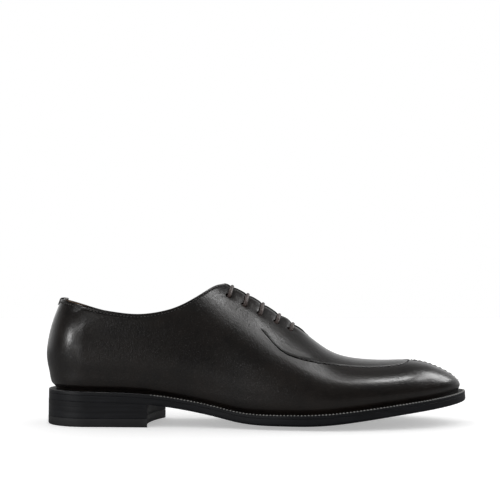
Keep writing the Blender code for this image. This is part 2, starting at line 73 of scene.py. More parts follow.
lastForm = {
    "back": 3.4,
    "toe": 300.8,
    "heelRound": 29.0,
    "toeRound": 44.0,
    "toeDome": 26.0,
    "flare": 0.5,
    "featherPull": 0.28,
    "lowSidePull": 0.42,
    "backReach": 75.0,
    "samples": 200,
    "columns": (
        "along", "featherLateral", "featherMedial", "widestLateral", "widestMedial", "widestUp",
        "sidePull", "topPull",
    ),
    "rows": (
        (4, 29.0, 27.6, 33.2, 31.4, 22.0, 0.55, 0.62),
        (30, 29.5, 26.8, 33.8, 31.4, 22.0, 0.55, 0.62),
        (60, 30.2, 25.6, 34.8, 31.6, 22.0, 0.55, 0.58),
        (90, 31.8, 24.0, 36.2, 31.8, 22.0, 0.54, 0.50),
        (120, 35.2, 24.4, 38.8, 32.8, 21.0, 0.52, 0.34),
        (150, 41.8, 29.4, 44.6, 36.0, 18.0, 0.49, 0.29),
        (175, 46.9, 36.6, 49.3, 41.4, 15.0, 0.48, 0.32),
        (200, 49.2, 42.9, 51.5, 46.6, 12.5, 0.51, 0.46),
        (225, 46.9, 46.0, 49.2, 48.8, 10.5, 0.54, 0.58),
        (250, 40.5, 43.4, 42.6, 45.6, 8.5, 0.56, 0.60),
        (275, 33.0, 36.6, 34.7, 38.2, 6.6, 0.56, 0.60),
        (300, 25.6, 29.4, 26.8, 30.6, 4.2, 0.56, 0.60),
    ),
    "crest": (
        (0, 122.0), (50, 120.0), (90, 116.0), (112, 110.5), (130, 101.0), (150, 90.3),
        (170, 77.2), (185, 67.2), (195, 59.8), (203, 54.1), (212, 49.7), (222, 47.2),
        (235, 45.8), (250, 45.5), (265, 45.5), (274, 44.0), (283, 41.8), (300, 38.5),
    ),
    "backCurve": (  # as up and along
        (27, 3.4), (34, 1.9), (41, 0.0), (50, -1.2), (60, -0.3), (72, 2.4), (84, 6.8),
        (96, 11.1), (122, 20.0),
    ),
    "toplineColumns": ("along", "lateral", "medial"),
    "topline": (
        (3.4, 90.3, 90.3), (16, 88.4, 86.8), (34, 84.4, 81.8), (54, 80.9, 78.7),
        (69, 79.7, 78.5), (82, 81.0, 80.6), (97, 85.2, 85.2), (107, 90.3, 90.3),
        (116, 96.0, 96.0), (123, 100.1, 100.1), (129, 101.4, 101.4),
    ),
}
lacing = {
    "slitTop": 129.0,
    "slitEnd": 188.0,
    "slitGap": 2.0,
    "bars": (134.5, 145.9, 157.1, 169.0, 179.0),
    "reach": (14.6, 16.2, 16.9, 15.3, 14.5),
    "lean": 1.2,
    "holeRadius": 2.45,
    "holeBack": 0.8,
    "holeOut": 0.7,
    "cutterLong": 9.0,
    "liningWider": 1.2,
    "laceRadius": 1.4,
    "under": 3.3,  # depth of the hidden runs below the leather
    "barLift": 0.45,
    "endOver": 6.5,
    # how far before its hole, and how high over the leather, the lace dips into the hole
    "dips": ((0.9, -3.3), (1.2, -1.6), (2.9, 0.2)),
}
apron = {
    "start": 156.0,
    "front": 264.6,
    "turn": 3.0,
    "line": (
        (156, 69.0), (160, 64.6), (165, 58.9), (171, 53.6), (180, 49.6), (192, 46.6),
        (205, 44.2), (222, 42.4), (238, 42.0), (248, 42.5), (256, 43.6), (262, 45.0),
    ),
    "rise": 0.42,
    "ridge": 1.5,
    "groove": 0.75,
    "grooveWide": 0.42,
    "fade": 3.0,
    "pitch": 3.3,
    "toePitch": 3.7,
    "vampRise": 0.12,  # share of the rise on the vamp's side
    "frontFade": 9.0,
    "pinch": 0.45,
    "stitched": 182.0,  # from here on the stitches show
    "pulledFrom": 45.0,  # run along the seam where its stitches begin to pull it shut
    "pulledOver": 12.0,
}
toeSeam = {
    "starts": 2.0,
    "rise": 0.75,
    "even": 0.62,
    "scallop": 0.38,
    "wide": 1.1,
    "end": 299.0,
    "fade": 5.0,
    "dip": 0.35,
    "dipAt": 1.5,
    "dipWide": 0.5,
}
sides = {"lateral": -1, "medial": 1}

# start, end and the lengths of the round heel and toe, of the sole's outline and of the last
spanNames = ("heelRound", "toeRound")
soleSpan = (0.0, soleForm["length"], *(soleForm[name] for name in spanNames))
lastSpan = (lastForm["back"], lastForm["toe"], *(lastForm[name] for name in spanNames))


class SmoothLine:
    # a natural cubic through rows of two numbers, straight past both ends

    def __init__(self, rows):
        self.at, self.value = np.array(rows, float).T
        step, count = np.diff(self.at), len(self.at)
        slope = np.diff(self.value) / step
        system, pull = np.eye(count), np.zeros(count)
        for i in range(1, count - 1):
            system[i, i - 1 : i + 2] = step[i - 1], 2 * (step[i - 1] + step[i]), step[i]
            pull[i] = 6 * (slope[i] - slope[i - 1])
        self.bend = np.linalg.solve(system, pull)

    def __call__(self, at):
        at = np.asarray(at, float)
        inside = np.clip(at, self.at[0], self.at[-1])
        i = np.clip(np.searchsorted(self.at, inside) - 1, 0, len(self.at) - 2)
        step = self.at[i + 1] - self.at[i]
        before = (self.at[i + 1] - inside) / step
        after = 1 - before
        low, high = self.bend[i], self.bend[i + 1]
        value = before * self.value[i] + after * self.value[i + 1]
        value += ((before**3 - before) * low + (after**3 - after) * high) * step**2 / 6
        rise = (self.value[i + 1] - self.value[i]) / step
        rise += ((1 - 3 * before**2) * low + (3 * after**2 - 1) * high) * step / 6
        return value + rise * (at - inside)


def linesOf(columns, rows):
    numbers = np.array(rows, float)
    return {name: SmoothLine(numbers[:, (0, i)]) for i, name in enumerate(columns) if i}


soleLines = linesOf(soleForm["outlineColumns"], soleForm["outline"])
lastLines = linesOf(lastForm["columns"], lastForm["rows"])
seatLine = SmoothLine(soleForm["seat"])
crestLine = SmoothLine(lastForm["crest"])
backLine = SmoothLine(lastForm["backCurve"])
toplineLines = linesOf(lastForm["toplineColumns"], lastForm["topline"])
apronLine = SmoothLine(apron["line"])


def smoothStep(value):
    value = np.clip(value, 0, 1)
    return value * value * (3 - 2 * value)


def roundEnd(distance, reach):
    left = np.clip(1 - np.asarray(distance, float) / reach, 0, 1)
    return np.sqrt(1 - left * left)


def roundEnds(along, start, end, heelRound, toeRound):
    # 1 in the middle, and down to 0 in a round at both ends
    return roundEnd(along - start, heelRound) * roundEnd(end - along, toeRound)


def runOf(points):
    # the way along a line of points, from its first
    return np.concatenate(([0], np.cumsum(np.linalg.norm(np.diff(points, axis=0), axis=1))))


def bell(distance, width):
    return np.exp(-((distance / width) ** 2))


def footbed(along, out):
    spread = np.clip(np.abs(out) - soleForm["crownFlat"], 0, None)
    spread = spread / (soleForm["crownOut"] - soleForm["crownFlat"])
    grown = (along - soleForm["crownStarts"]) / (soleForm["crownFull"] - soleForm["crownStarts"])
    return seatLine(along) - soleForm["sink"] + soleForm["crownRise"] * spread**2 * smoothStep(grown)


def outsoleFoot(along, out):
    thick = soleForm["weltThick"] + soleForm["gap"] + soleForm["soleThick"]
    return np.maximum(footbed(along, out) - thick, 0)


def bezier(p0, p1, p2, p3, t):
    t = t[:, None]
    p0, p1, p2, p3 = (np.array(p, float) for p in (p0, p1, p2, p3))
    return (1 - t) ** 3 * p0 + 3 * (1 - t) ** 2 * t * p1 + 3 * (1 - t) * t**2 * p2 + t**3 * p3


sectionStore = {}


def section(along, side):
    # points (out, up) over one side of the last from feather to crest, and the way to each
    key = (round(float(along), 4), side)
    if key in sectionStore:
        return sectionStore[key]
    ends = float(roundEnds(along, *lastSpan))
    row = {name: float(line(along)) for name, line in lastLines.items()}
    feather = row["feather" + side.title()] * ends
    widest = row["widest" + side.title()] * ends
    low = float(footbed(along, feather)) + soleForm["gap"]
    mid = low + row["widestUp"]
    dome = float(roundEnd(lastForm["toe"] - along, lastForm["toeDome"]))
    crest = mid + (float(crestLine(along)) - mid) * dome
    t = np.linspace(0, 1, lastForm["samples"])
    lower = bezier(
        (feather, low),
        (
            feather + lastForm["flare"] * (widest - feather),
            low + lastForm["featherPull"] * row["widestUp"],
        ),
        (widest, mid - lastForm["lowSidePull"] * row["widestUp"]), (widest, mid),
        t,
    )
    upper = bezier(
        (widest, mid),
        (widest, mid + row["sidePull"] * (crest - mid)),
        (row["topPull"] * widest, crest), (0, crest),
        t,
    )
    points = np.concatenate((lower, upper[1:]))
    sectionStore[key] = points, runOf(points)
    return sectionStore[key]


def slitHalfGap(along):
    reach = lacing["slitEnd"] - lacing["slitTop"]
    return lacing["slitGap"] / 2 * float(roundEnd(lacing["slitEnd"] - along, reach))


def leatherEnd(along, side):
    # the way from the feather to the leather's top edge: the collar, the slit or the crest
    points, length = section(along, side)
    if along >= lacing["slitEnd"]:
        return length[-1]
    half, widest = slitHalfGap(along), int(np.argmax(points[:, 0]))
    end = length[-1]
    if points[widest, 0] > half:
        end = np.interp(-half, -points[widest:, 0], length[widest:])
    if along <= lacing["slitTop"]:
        end = min(end, np.interp(float(toplineLines[side](along)), points[:, 1], length))
    return end


def backShift(along, up):
    fade = np.clip(1 - (along - lastForm["back"]) / lastForm["backReach"], 0, 1) ** 2
    return (backLine(up) - lastForm["back"]) * fade


def placesOn(along, side, arcs):
    # points of the bare last at these ways from the feather
    points, length = section(along, side)
    out = np.interp(arcs, length, points[:, 0])
    up = np.interp(arcs, length, points[:, 1])
    return np.column_stack((along + backShift(along, up), sides[side] * out, up))


def onLeather(along, over, side, lift=0.0):
    # a point above the leather, and the leather's outward normal there
    step = 0.4
    grid = []
    for near in (along - step, along, along + step):
        total = section(near, side)[1][-1]
        grid.append(placesOn(near, side, total - np.array((over + step, over, max(over - step, 0)))))
    grid = np.array(grid)
    normal = np.cross(grid[1, 2] - grid[1, 0], grid[2, 1] - grid[0, 1]) * sides[side]
    if over < 0.01:
        normal[1] = 0
    normal /= np.linalg.norm(normal)
    return grid[1, 1] + lift * normal, normal


def apronOver(along):
    # how far the apron seam lies from the crest
    if along >= apron["front"]:
        return 0.0
    points, length = section(along, "lateral")
    down = min(float(apronLine(along)), points[-1, 1])
    over = length[-1] - np.interp(down, points[:, 1], length)
    return float(over * smoothStep((apron["front"] - along) / apron["turn"]))


def middleOfShoe():
    along = np.linspace(0, soleForm["length"], 400)
    ends = roundEnds(along, *soleSpan)
    lateral, medial = ((soleLines[side](along) * ends).max() for side in sides)
    back = min(0.0, float(backLine(np.linspace(30, 80, 100)).min()))
    return np.array(((soleForm["length"] + back) / 2, (medial - lateral) / 2, 0))


middle = middleOfShoe()


def toFrame(points):
    return (np.asarray(points, float).reshape(-1, 3) - middle) / 1000


def stationsAlong(start, end, startRound, endRound, step, capSteps):
    turn = 1 - np.cos(np.linspace(0, math.pi / 2, capSteps + 1))
    first, last = start + startRound, end - endRound
    between = np.linspace(first, last, max(2, round((last - first) / step)) + 1)
    return np.concatenate((start + startRound * turn[:-1], between, end - endRound * turn[-2::-1]))


# Shader and geometry maths


class Wire:
    # a socket that takes part in sums: each operator adds a Math node

    def __init__(self, tree, socket):
        self.tree, self.socket = tree, socket

    def sum(self, operation, *values, clamp=False):
        node = self.tree.nodes.new("ShaderNodeMath")
        node.operation, node.use_clamp = operation, clamp
        for socket, value in zip(node.inputs, values):
            plug(self.tree, socket, value)
        return Wire(self.tree, node.outputs[0])

    def __add__(self, other):
        return self.sum("ADD", self, other)

    def __radd__(self, other):
        return self.sum("ADD", other, self)

    def __sub__(self, other):
        return self.sum("SUBTRACT", self, other)

    def __rsub__(self, other):
        return self.sum("SUBTRACT", other, self)

    def __mul__(self, other):
        return self.sum("MULTIPLY", self, other)

    def __rmul__(self, other):
        return self.sum("MULTIPLY", other, self)

    def sine(self):
        return self.sum("SINE", self)

    def above(self, edge, soft):
        # 0 below edge, 1 past edge + soft
        return self.sum("MULTIPLY", self - edge, 1 / soft, clamp=True)


def plug(tree, socket, value):
    if isinstance(value, Wire):
        tree.links.new(value.socket, socket)
    else:
        socket.default_value = value


class Board:
    # one method makes any node: its type, settings first, then values or links of its sockets

    def __init__(self, tree):
        self.tree = tree

    def add(self, kind, settings=None, values=None, out=0):
        node = self.tree.nodes.new(kind)
        for name, value in (settings or {}).items():
            if name == "stops":
                ramp = node.color_ramp
                while len(ramp.elements) < len(value):
                    ramp.elements.new(0.5)
                for element, (position, shade) in zip(ramp.elements, value):
                    element.position, element.color = position, (*shade, 1)
            else:
                setattr(node, name, value)
        self.feed(node, values or {})
        return Wire(self.tree, node.outputs[out])

    def feed(self, node, values):
        for name, value in values.items():
            plug(self.tree, node.inputs[name], value)

    def mixColours(self, share, first, second):
        node = self.tree.nodes.new("ShaderNodeMix")
        node.data_type = "RGBA"
        for i, value in ((0, share), (6, first), (7, second)):
            plug(self.tree, node.inputs[i], (*value, 1) if isinstance(value, tuple) else value)
        return Wire(self.tree, node.outputs[2])


def newMaterial(name, base, roughness, coat=0.0, coatRoughness=0.1, sheen=0.0, specular=0.5):
    material = bpy.data.materials.new(name)
    material.use_nodes = True
    material.diffuse_color = (*base, 1)
    shader = material.node_tree.nodes["Principled BSDF"]
    board = Board(material.node_tree)
    board.feed(shader, {
        "Base Color": (*base, 1),
        "Roughness": roughness,
        "Coat Weight": coat,
        "Coat Roughness": coatRoughness,
        "Sheen Weight": sheen,
        "Specular IOR Level": specular,
    })
    return material, board, shader, board.add("ShaderNodeTexCoord", out=3)


def noise(board, place, scale, detail=2.0, rough=0.5):
    values = {"Vector": place, "Scale": scale, "Detail": detail, "Roughness": rough}
    return board.add("ShaderNodeTexNoise", values=values)


def bump(board, height, depth, strength):
    values = {"Height": height, "Distance": depth, "Strength": strength}
    return board.add("ShaderNodeBump", values=values)


calfLook = {
    "deep": (0.0072, 0.0059, 0.0055),
    "warm": (0.0180, 0.0134, 0.0108),
    # near-black painted into the seam grooves and the collar's stitch channel as shade
    "paintedSeamShade": (0.0012, 0.0010, 0.0010),
    "patina": 26.0,  # patches to the metre; the next three are finer by these factors
    "clouds": 6,
    "scuffs": 14,
    "swells": 22,
    "grain": 1700.0,
    "pores": 1100.0,
    "grainDepth": 0.00010,
    "roughness": 0.30,
    "roughSpread": 0.14,
    "roughPits": 0.08,
    "roughSeam": 0.4,
    "coat": 0.15,
    "coatRoughness": 0.16,
    "specular": 0.42,
}


def polishedCalf(name, look, tone=1.0):
    deep, warm = (tuple(tone * value for value in look[part]) for part in ("deep", "warm"))
    base = tuple((a + b) / 2 for a, b in zip(deep, warm))
    material, board, shader, place = newMaterial(
        name, base, look["roughness"], look["coat"], look["coatRoughness"], specular=look["specular"]
    )
    patina = noise(board, place, look["patina"], 4.0, 0.6)
    clouds = noise(board, place, look["patina"] * look["clouds"], 3.0, 0.6)
    shade = board.mixColours((patina * 0.7 + clouds * 0.3).above(0.36, 0.3), deep, warm)
    # seam says how deep a point lies in a seam's groove or stitch channel; the colour there goes to
    # near-black: painted shade
    seam = board.add("ShaderNodeAttribute", {"attribute_name": "seam"}, out=2)
    cells = board.add(
        "ShaderNodeTexVoronoi",
        {"feature": "SMOOTH_F1"},
        {"Vector": place, "Scale": look["grain"], "Smoothness": 0.6},
    )
    pits = noise(board, place, look["pores"]).above(0.62, 0.1)
    scuffs = noise(board, place, look["patina"] * look["scuffs"], 5.0, 0.65)
    rough = look["roughness"] + (scuffs - 0.5) * look["roughSpread"] + pits * look["roughPits"]
    swells = noise(board, place, look["patina"] * look["swells"])
    board.feed(shader, {
        "Base Color": board.mixColours(seam, shade, look["paintedSeamShade"]),
        "Roughness": rough + seam * look["roughSeam"],
        "Coat Weight": (1 - seam) * look["coat"],
        "Normal": bump(board, cells * 0.5 - pits * 0.5 + swells * 1.2, look["grainDepth"], 0.8),
    })
    return material


liningLook = {
    "pale": (0.52, 0.34, 0.20),
    "dark": (0.36, 0.21, 0.11),
    "patches": 34.0,
    "grain": 1400.0,
    "grainDepth": 0.00006,
}


def mattLeather(name, look):
    material, board, shader, place = newMaterial(name, look["pale"], 0.62)
    patches = noise(board, place, look["patches"], 4.0, 0.6)
    cells = board.add("ShaderNodeTexVoronoi", {}, {"Vector": place, "Scale": look["grain"]})
    board.feed(shader, {
        "Base Color": board.mixColours(patches.above(0.35, 0.35), look["dark"], look["pale"]),
        "Roughness": 0.55 + patches * 0.18,
        "Normal": bump(board, cells + patches * 0.6, look["grainDepth"], 0.7),
    })
    return material


# Black edge ink and wax over stacked leather, on the sole and on cut leather. The same material also
# paints the shade in the lace slit and the pale highlights on the welt's top rim and its fudge ribs.
edgeLook = {
    "inkAndPaintedLight": (0.0085, 0.0090, 0.0115),
    "worn": (0.020, 0.021, 0.026),
    "roughness": 0.48,
    "specular": 0.24,
    "depth": 0.00008,
}
flatEdgeLook = {**edgeLook, "depth": 0.00004}
# the facings' inked cut edges along the lace slit, darker than the sole's ink as painted shade in the
# slit
cutEdgeSlitShadeLook = {
    "inkAndPaintedLight": (0.0024, 0.0020, 0.0020),
    "worn": (0.0060, 0.0050, 0.0048),
    "roughness": 0.6,
    "specular": 0.12,
    "depth": 0.00008,
}
# pale greys that paint the highlight along the welt's top rim
weltRimHighlightLook = {
    "inkAndPaintedLight": (0.10, 0.10, 0.104),
    "worn": (0.46, 0.45, 0.43),
    "roughness": 0.5,
    "specular": 0.5,
    "depth": 0.00004,
}
# paler still: painted highlights on the welt's fudge ribs
fudgeRibHighlightLook = {**weltRimHighlightLook, "inkAndPaintedLight": (0.30, 0.30, 0.29)}


def inkedEdge(name, look):
    material, board, shader, place = newMaterial(
        name, look["inkAndPaintedLight"], look["roughness"], specular=look["specular"]
    )
    stretched = board.add("ShaderNodeMapping", {}, {"Vector": place, "Scale": (40.0, 40.0, 900.0)})
    fibres = board.add("ShaderNodeTexNoise", {}, {"Vector": stretched, "Scale": 1.0, "Detail": 4.0})
    clouds = noise(board, place, 60.0, 4.0, 0.6)
    # patches of the paler tone: real wear on the inked edges, patchy painted light where the look
    # paints a highlight or shade
    wearAndLightPatches = (fibres * 0.6 + clouds * 0.4).above(0.47, 0.22)
    board.feed(shader, {
        "Base Color": board.mixColours(wearAndLightPatches * 0.6, look["inkAndPaintedLight"], look["worn"]),
        "Roughness": look["roughness"] + clouds * 0.2 - 0.05,
        "Normal": bump(board, fibres + clouds * 0.5, look["depth"], 0.7),
    })
    return material


rubberLook = {
    "mean": (0.010, 0.0105, 0.012),
    "dark": (0.008, 0.008, 0.010),
    "pale": (0.022, 0.022, 0.025),
}


def moulded(name, look):
    # black rubber of the top piece
    material, board, shader, place = newMaterial(name, look["mean"], 0.62)
    specks = noise(board, place, 900.0, 3.0, 0.7)
    patches = noise(board, place, 90.0, 3.0)
    board.feed(shader, {
        "Base Color": board.mixColours(patches, look["dark"], look["pale"]),
        "Roughness": 0.5 + specks * 0.25,
        "Normal": bump(board, specks, 0.00008, 0.8),
    })
    return material


def threadMaterial(name, base, pale):
    material, board, shader, place = newMaterial(name, base, 0.6, sheen=0.2)
    fibres = noise(board, place, 3500.0, 3.0, 0.7)
    board.feed(shader, {
        "Base Color": board.mixColours(fibres.above(0.35, 0.3), base, pale),
        "Normal": bump(board, fibres, 0.00008, 0.9),
    })
    return material


# pick is the length of one turn of the braid, in millimetres
laceLook = {"dark": (0.026, 0.017, 0.015), "pale": (0.170, 0.118, 0.105), "pick": 1.1, "strands": 4.0}


def waxedLace(name, look):
    material, board, shader, place = newMaterial(name, look["dark"], 0.5, 0.15, 0.3, sheen=0.15)
    run, turn = (
        board.add("ShaderNodeAttribute", {"attribute_name": title}, out=2) for title in ("run", "turn")
    )
    across = turn * (2 * math.pi * look["strands"])
    down = run * (2 * math.pi * 1000 / look["pick"])
    braid = (across + down).sine() * (across - down).sine()
    fibres = noise(board, place, 3000.0, 3.0, 0.7)
    # the colour follows the braid's relief, pale on the strands' crests and dark in the hollows between
    # them: painted light and shade on the braid
    share = (braid * 0.5 + 0.5) * 0.6 + fibres * 0.4
    board.feed(shader, {
        "Base Color": board.mixColours(share, look["dark"], look["pale"]),
        "Roughness": 0.42 + fibres * 0.2,
        "Normal": bump(board, braid * 0.7 + fibres * 0.3, 0.00014, 0.9),
    })
    return material


materials = {
    "calf": polishedCalf("polishedCalf", calfLook),
    # the tongue takes the calf at 0.8 of its tone: painted shade where it sits sunk under the facings
    "shadedTongueCalf": polishedCalf("shadedTongueCalf", calfLook, 0.8),
    "lining": mattLeather("liningLeather", liningLook),
    "edge": inkedEdge("inkedEdge", edgeLook),
    "welt": inkedEdge("weltEdge", flatEdgeLook),
    "weltRimHighlight": inkedEdge("weltRimHighlight", weltRimHighlightLook),
    "fudgeRibHighlight": inkedEdge("fudgeRibHighlight", fudgeRibHighlightLook),
    "rubber": moulded("topPieceRubber", rubberLook),
    "darkThread": threadMaterial("darkThread", (0.004, 0.0035, 0.0035), (0.016, 0.013, 0.012)),
    "collarThread": threadMaterial("collarThread", (0.014, 0.012, 0.011), (0.12, 0.105, 0.10)),
    "cutEdgeSlitShade": inkedEdge("cutEdgeSlitShade", cutEdgeSlitShadeLook),
    "weltThread": threadMaterial("weltThread", (0.030, 0.028, 0.028), (0.11, 0.10, 0.095)),
    "lace": waxedLace("waxedLace", laceLook),
}
print("materials made:", len(materials))


# Mesh helpers


def newObject(name, data):
    item = bpy.data.objects.new(name, data)
    bpy.context.scene.collection.objects.link(item)
    return item


def bakedMesh(item):
    # the mesh that the modifiers of this object make
    bpy.context.view_layer.update()
    graph = bpy.context.evaluated_depsgraph_get()
    return bpy.data.meshes.new_from_object(item.evaluated_get(graph))


def finishPiece(name, mesh, material, stands=(), extra=None):
    if not len(mesh.materials):
        mesh.materials.append(materials[material])
        if extra:
            mesh.materials.append(materials[extra])
    item = newObject(name, mesh)
    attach(item, "root")
    if stands:
        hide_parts(*stands)
    return item


def shaded(mesh, sharp=45):
    mesh.shade_smooth()
    mesh.set_sharp_from_angle(angle=math.radians(sharp))
    return mesh


def meshFrom(name, points, faces, sharp=45, second=()):
    mesh = bpy.data.meshes.new(name)
    mesh.from_pydata(toFrame(points).tolist(), [], faces)
    for number in second:
        mesh.polygons[number].material_index = 1
    shape = bmesh.new()
    shape.from_mesh(mesh)
    bmesh.ops.remove_doubles(shape, verts=shape.verts, dist=2e-6)
    bmesh.ops.dissolve_degenerate(shape, edges=shape.edges, dist=1e-7)
    bmesh.ops.recalc_face_normals(shape, faces=shape.faces)
    shape.to_mesh(mesh)
    shape.free()
    return shaded(mesh, sharp)


def gridFaces(columns, rows, first=0):
    return [
        (first + i * rows + j, first + (i + 1) * rows + j,
         first + (i + 1) * rows + j + 1, first + i * rows + j + 1)
        for i in range(columns - 1)
        for j in range(rows - 1)
    ]


def strip(one, other):
    return [(a, b, d, c) for a, b, c, d in zip(one, one[1:], other, other[1:])]


def wallBetween(name, outerGrids, innerGrids, openRows):
    points, faces = [], []
    for outer, inner in zip(outerGrids, innerGrids):
        columns, rows = outer.shape[:2]
        first = len(points)
        points.extend(outer.reshape(-1, 3))
        second = len(points)
        points.extend(inner.reshape(-1, 3))
        faces += gridFaces(columns, rows, first) + gridFaces(columns, rows, second)
        for row in openRows(columns, rows):
            faces += strip([first + k for k in row], [second + k for k in row])
    return meshFrom(name, points, faces)


def allRims(columns, rows):
    yield [i * rows for i in range(columns)]
    yield [i * rows + rows - 1 for i in range(columns)]
    yield list(range(rows))
    yield [(columns - 1) * rows + j for j in range(rows)]


# Upper

upperCut = {
    "calf": 1.45,
    "wall": 2.0,
    "liningLower": 0.5,
    "liningGap": 0.06,
    "step": 1.35,
    "capSteps": 26,
    "rows": 84,
    "seamDense": 14,  # times more rows at the seam, over the width that follows
    "seamCrowd": 1.6,
    "edgeDense": 5,
    "edgeCrowd": 2.6,
    "tuck": {
        "rise": 0.55,
        "at": 7.0,
        "wide": 4.5,
        "foot": 3.0,
        "deep": 1.2,
        "heelDeep": 1.0,
        "reach": 4.8,
    },
    "channel": 0.3,
    "channelWide": 0.55,
    "swell": 0.12,
    "swellIn": 1.1,
    "swellWide": 0.7,
    "stitchIn": 2.3,
    "roll": 0.6,
    "innerRoll": 0.15,  # share of the roll on the inner facing
}

# Soft ridges and troughs, listed one by one. A plus depth stands out, a minus depth sinks in.
foldColumns = ("side", "fromAlong", "fromOver", "toAlong", "toOver", "width", "depth")
foldRows = (
    ("lateral", 118, 40, 176, 66, 9.0, 0.30),
    ("lateral", 100, 52, 160, 84, 10.0, -0.30),
    ("lateral", 60, 70, 120, 88, 12.0, 0.22),
    ("lateral", 176, 36, 214, 62, 8.0, -0.22),
    ("lateral", 190, 30, 236, 44, 7.0, 0.16),
    ("lateral", 173, 1, 175, 7, 3.4, 1.5),
    ("lateral", 139, 2, 141, 9, 4.0, 0.35),
    ("lateral", 150, 2, 152, 9, 4.0, 0.35),
    ("lateral", 162, 2, 164, 9, 4.0, 0.3),
    ("medial", 173, 1, 175, 7, 3.4, 0.9),
    ("medial", 118, 40, 172, 62, 9.0, 0.28),
    ("medial", 96, 50, 150, 78, 10.0, -0.28),
    ("medial", 176, 34, 214, 58, 8.0, -0.2),
)


def seamPath():
    stations = np.concatenate((
        np.linspace(apron["start"], 250, 380), np.linspace(250.05, apron["front"], 420)
    ))
    return np.array([(along, apronOver(along)) for along in stations])


apronPath = seamPath()
apronRun = runOf(apronPath)


def pulledShut(run):
    return smoothStep((run - apron["pulledFrom"]) / apron["pulledOver"])


def seamRelief(along, over):
    # the raised, stitched apron seam and the split toe's seam, as heights over the leather
    gap = np.hypot(along[:, None] - apronPath[None, :, 0], over[:, None] - apronPath[None, :, 1])
    nearest = gap.argmin(axis=1)
    away, run = gap[np.arange(len(gap)), nearest], apronRun[nearest]
    grown = smoothStep(run / apron["fade"])
    inner = over < np.interp(along, apronPath[:, 0], apronPath[:, 1])
    # the apron's edge lies on the vamp: its own side is raised, and the seam is a groove between
    step = apron["rise"] * bell(away, apron["ridge"]) * np.where(inner, 1.0, apron["vampRise"])
    step *= smoothStep((apron["front"] + 1 - along) / apron["frontFade"])
    held = pulledShut(run)  # stitches pull the groove shut at each pitch
    pinch = 1 - held * apron["pinch"] * (0.5 + 0.5 * np.cos(2 * math.pi * run / apron["pitch"]))
    rise = step - apron["groove"] * pinch * bell(away, apron["grooveWide"])
    toe = smoothStep((along - apron["front"]) / toeSeam["starts"])
    wave = np.cos(2 * math.pi * (along - apron["front"]) / apron["toePitch"])
    ridge = toeSeam["rise"] * (toeSeam["even"] + toeSeam["scallop"] * wave)
    ridge *= bell(over, toeSeam["wide"]) * smoothStep((toeSeam["end"] - along) / toeSeam["fade"])
    ridge -= toeSeam["dip"] * bell(over - toeSeam["dipAt"], toeSeam["dipWide"])
    return rise * grown * (1 - toe) + ridge * toe


def foldRelief(along, over, side):
    height = np.zeros_like(along)
    for row in foldRows:
        fold = dict(zip(foldColumns, row))
        if fold["side"] != side:
            continue
        start = np.array((fold["fromAlong"], fold["fromOver"]), float)
        way = np.array((fold["toAlong"], fold["toOver"]), float) - start
        length = np.linalg.norm(way)
        way /= length
        offset = np.column_stack((along, over)) - start
        share = np.clip(offset @ way / length, 0, 1)
        away = np.linalg.norm(offset - np.outer(share * length, way), axis=1)
        height += fold["depth"] * bell(away, fold["width"]) * (0.3 + 0.7 * np.sin(math.pi * share))
    return height


facingPull = {
    "press": 0.75,
    "pressWide": 2.0,
    "hole": 0.25,
    "holeWide": 2.8,
    "start": 126.0,
    "fade": 8.0,
    "swell": 0.35,
    "swellAt": 7.0,
    "swellWide": 6.0,
    "farRise": 0.95,  # the inner facing stands a little higher along the slit
    "farWide": 1.8,
}


def lacingRelief(along, over, side):
    # the facings swell between the bars and are pulled in under them
    pull = facingPull
    height = np.zeros_like(along)
    for bar, reach in zip(lacing["bars"], lacing["reach"]):
        line = bar - lacing["lean"] * np.clip(over / reach, 0, 1)
        past = smoothStep((reach + 4 - over) / 6)
        height -= pull["press"] * bell(along - line, pull["pressWide"]) * past
        height -= pull["hole"] * bell(np.hypot(along - line, over - reach), pull["holeWide"])
    zone = smoothStep((along - pull["start"]) / pull["fade"])
    zone *= smoothStep((lacing["slitEnd"] + 4 - along) / pull["fade"])
    height += pull["swell"] * zone * bell(over - pull["swellAt"], pull["swellWide"])
    if side == "medial":
        height += pull["farRise"] * zone * bell(over - 1, pull["farWide"])
    return height


# Soft hollows and swells of the quarter round the heel, as places, sizes and depths.
heelColumns = ("along", "up", "long", "high", "depth")
heelRows = (
    (21, 86, 12.0, 10.0, -1.9),
    (19, 40, 11.0, 9.0, -0.8),
    (21, 61, 12.0, 11.0, 0.6),
)


def heelRelief(along, up):
    height = np.zeros_like(along)
    for row in heelRows:
        form = dict(zip(heelColumns, row))
        away = np.hypot((along - form["along"]) / form["long"], (up - form["up"]) / form["high"])
        height += form["depth"] * bell(away, 1.0)
    return height * smoothStep((along - lastForm["back"]) / 8)


def edgeRelief(along, over, toEdge, total):
    # the leather rolls in sharply above the welt, and a shallow channel holds the collar's stitches
    tuck = upperCut["tuck"]
    arc = total - over
    height = tuck["rise"] * bell(arc - tuck["at"], tuck["wide"]) * smoothStep(arc / tuck["foot"])
    height *= smoothStep((lastForm["toe"] - along) / 14)
    opened = along < lacing["slitEnd"] - 1
    channel = upperCut["channel"] * bell(toEdge - upperCut["stitchIn"], upperCut["channelWide"])
    swell = upperCut["swell"] * bell(toEdge - upperCut["swellIn"], upperCut["swellWide"])
    return height + np.where(opened, swell - channel, 0)


def rowArcs(end, total, seam, strength):
    # ways from the feather to each row, crowded at the seam and at the top edge
    fine = np.linspace(0, end, 700)
    crowd = 1 + upperCut["seamDense"] * strength * bell(fine - (total - seam), upperCut["seamCrowd"])
    crowd += upperCut["edgeDense"] * bell(fine - end, upperCut["edgeCrowd"])
    grown = np.concatenate(([0], np.cumsum((crowd[1:] + crowd[:-1]) / 2)))
    return np.interp(np.linspace(0, grown[-1], upperCut["rows"]), grown, fine)


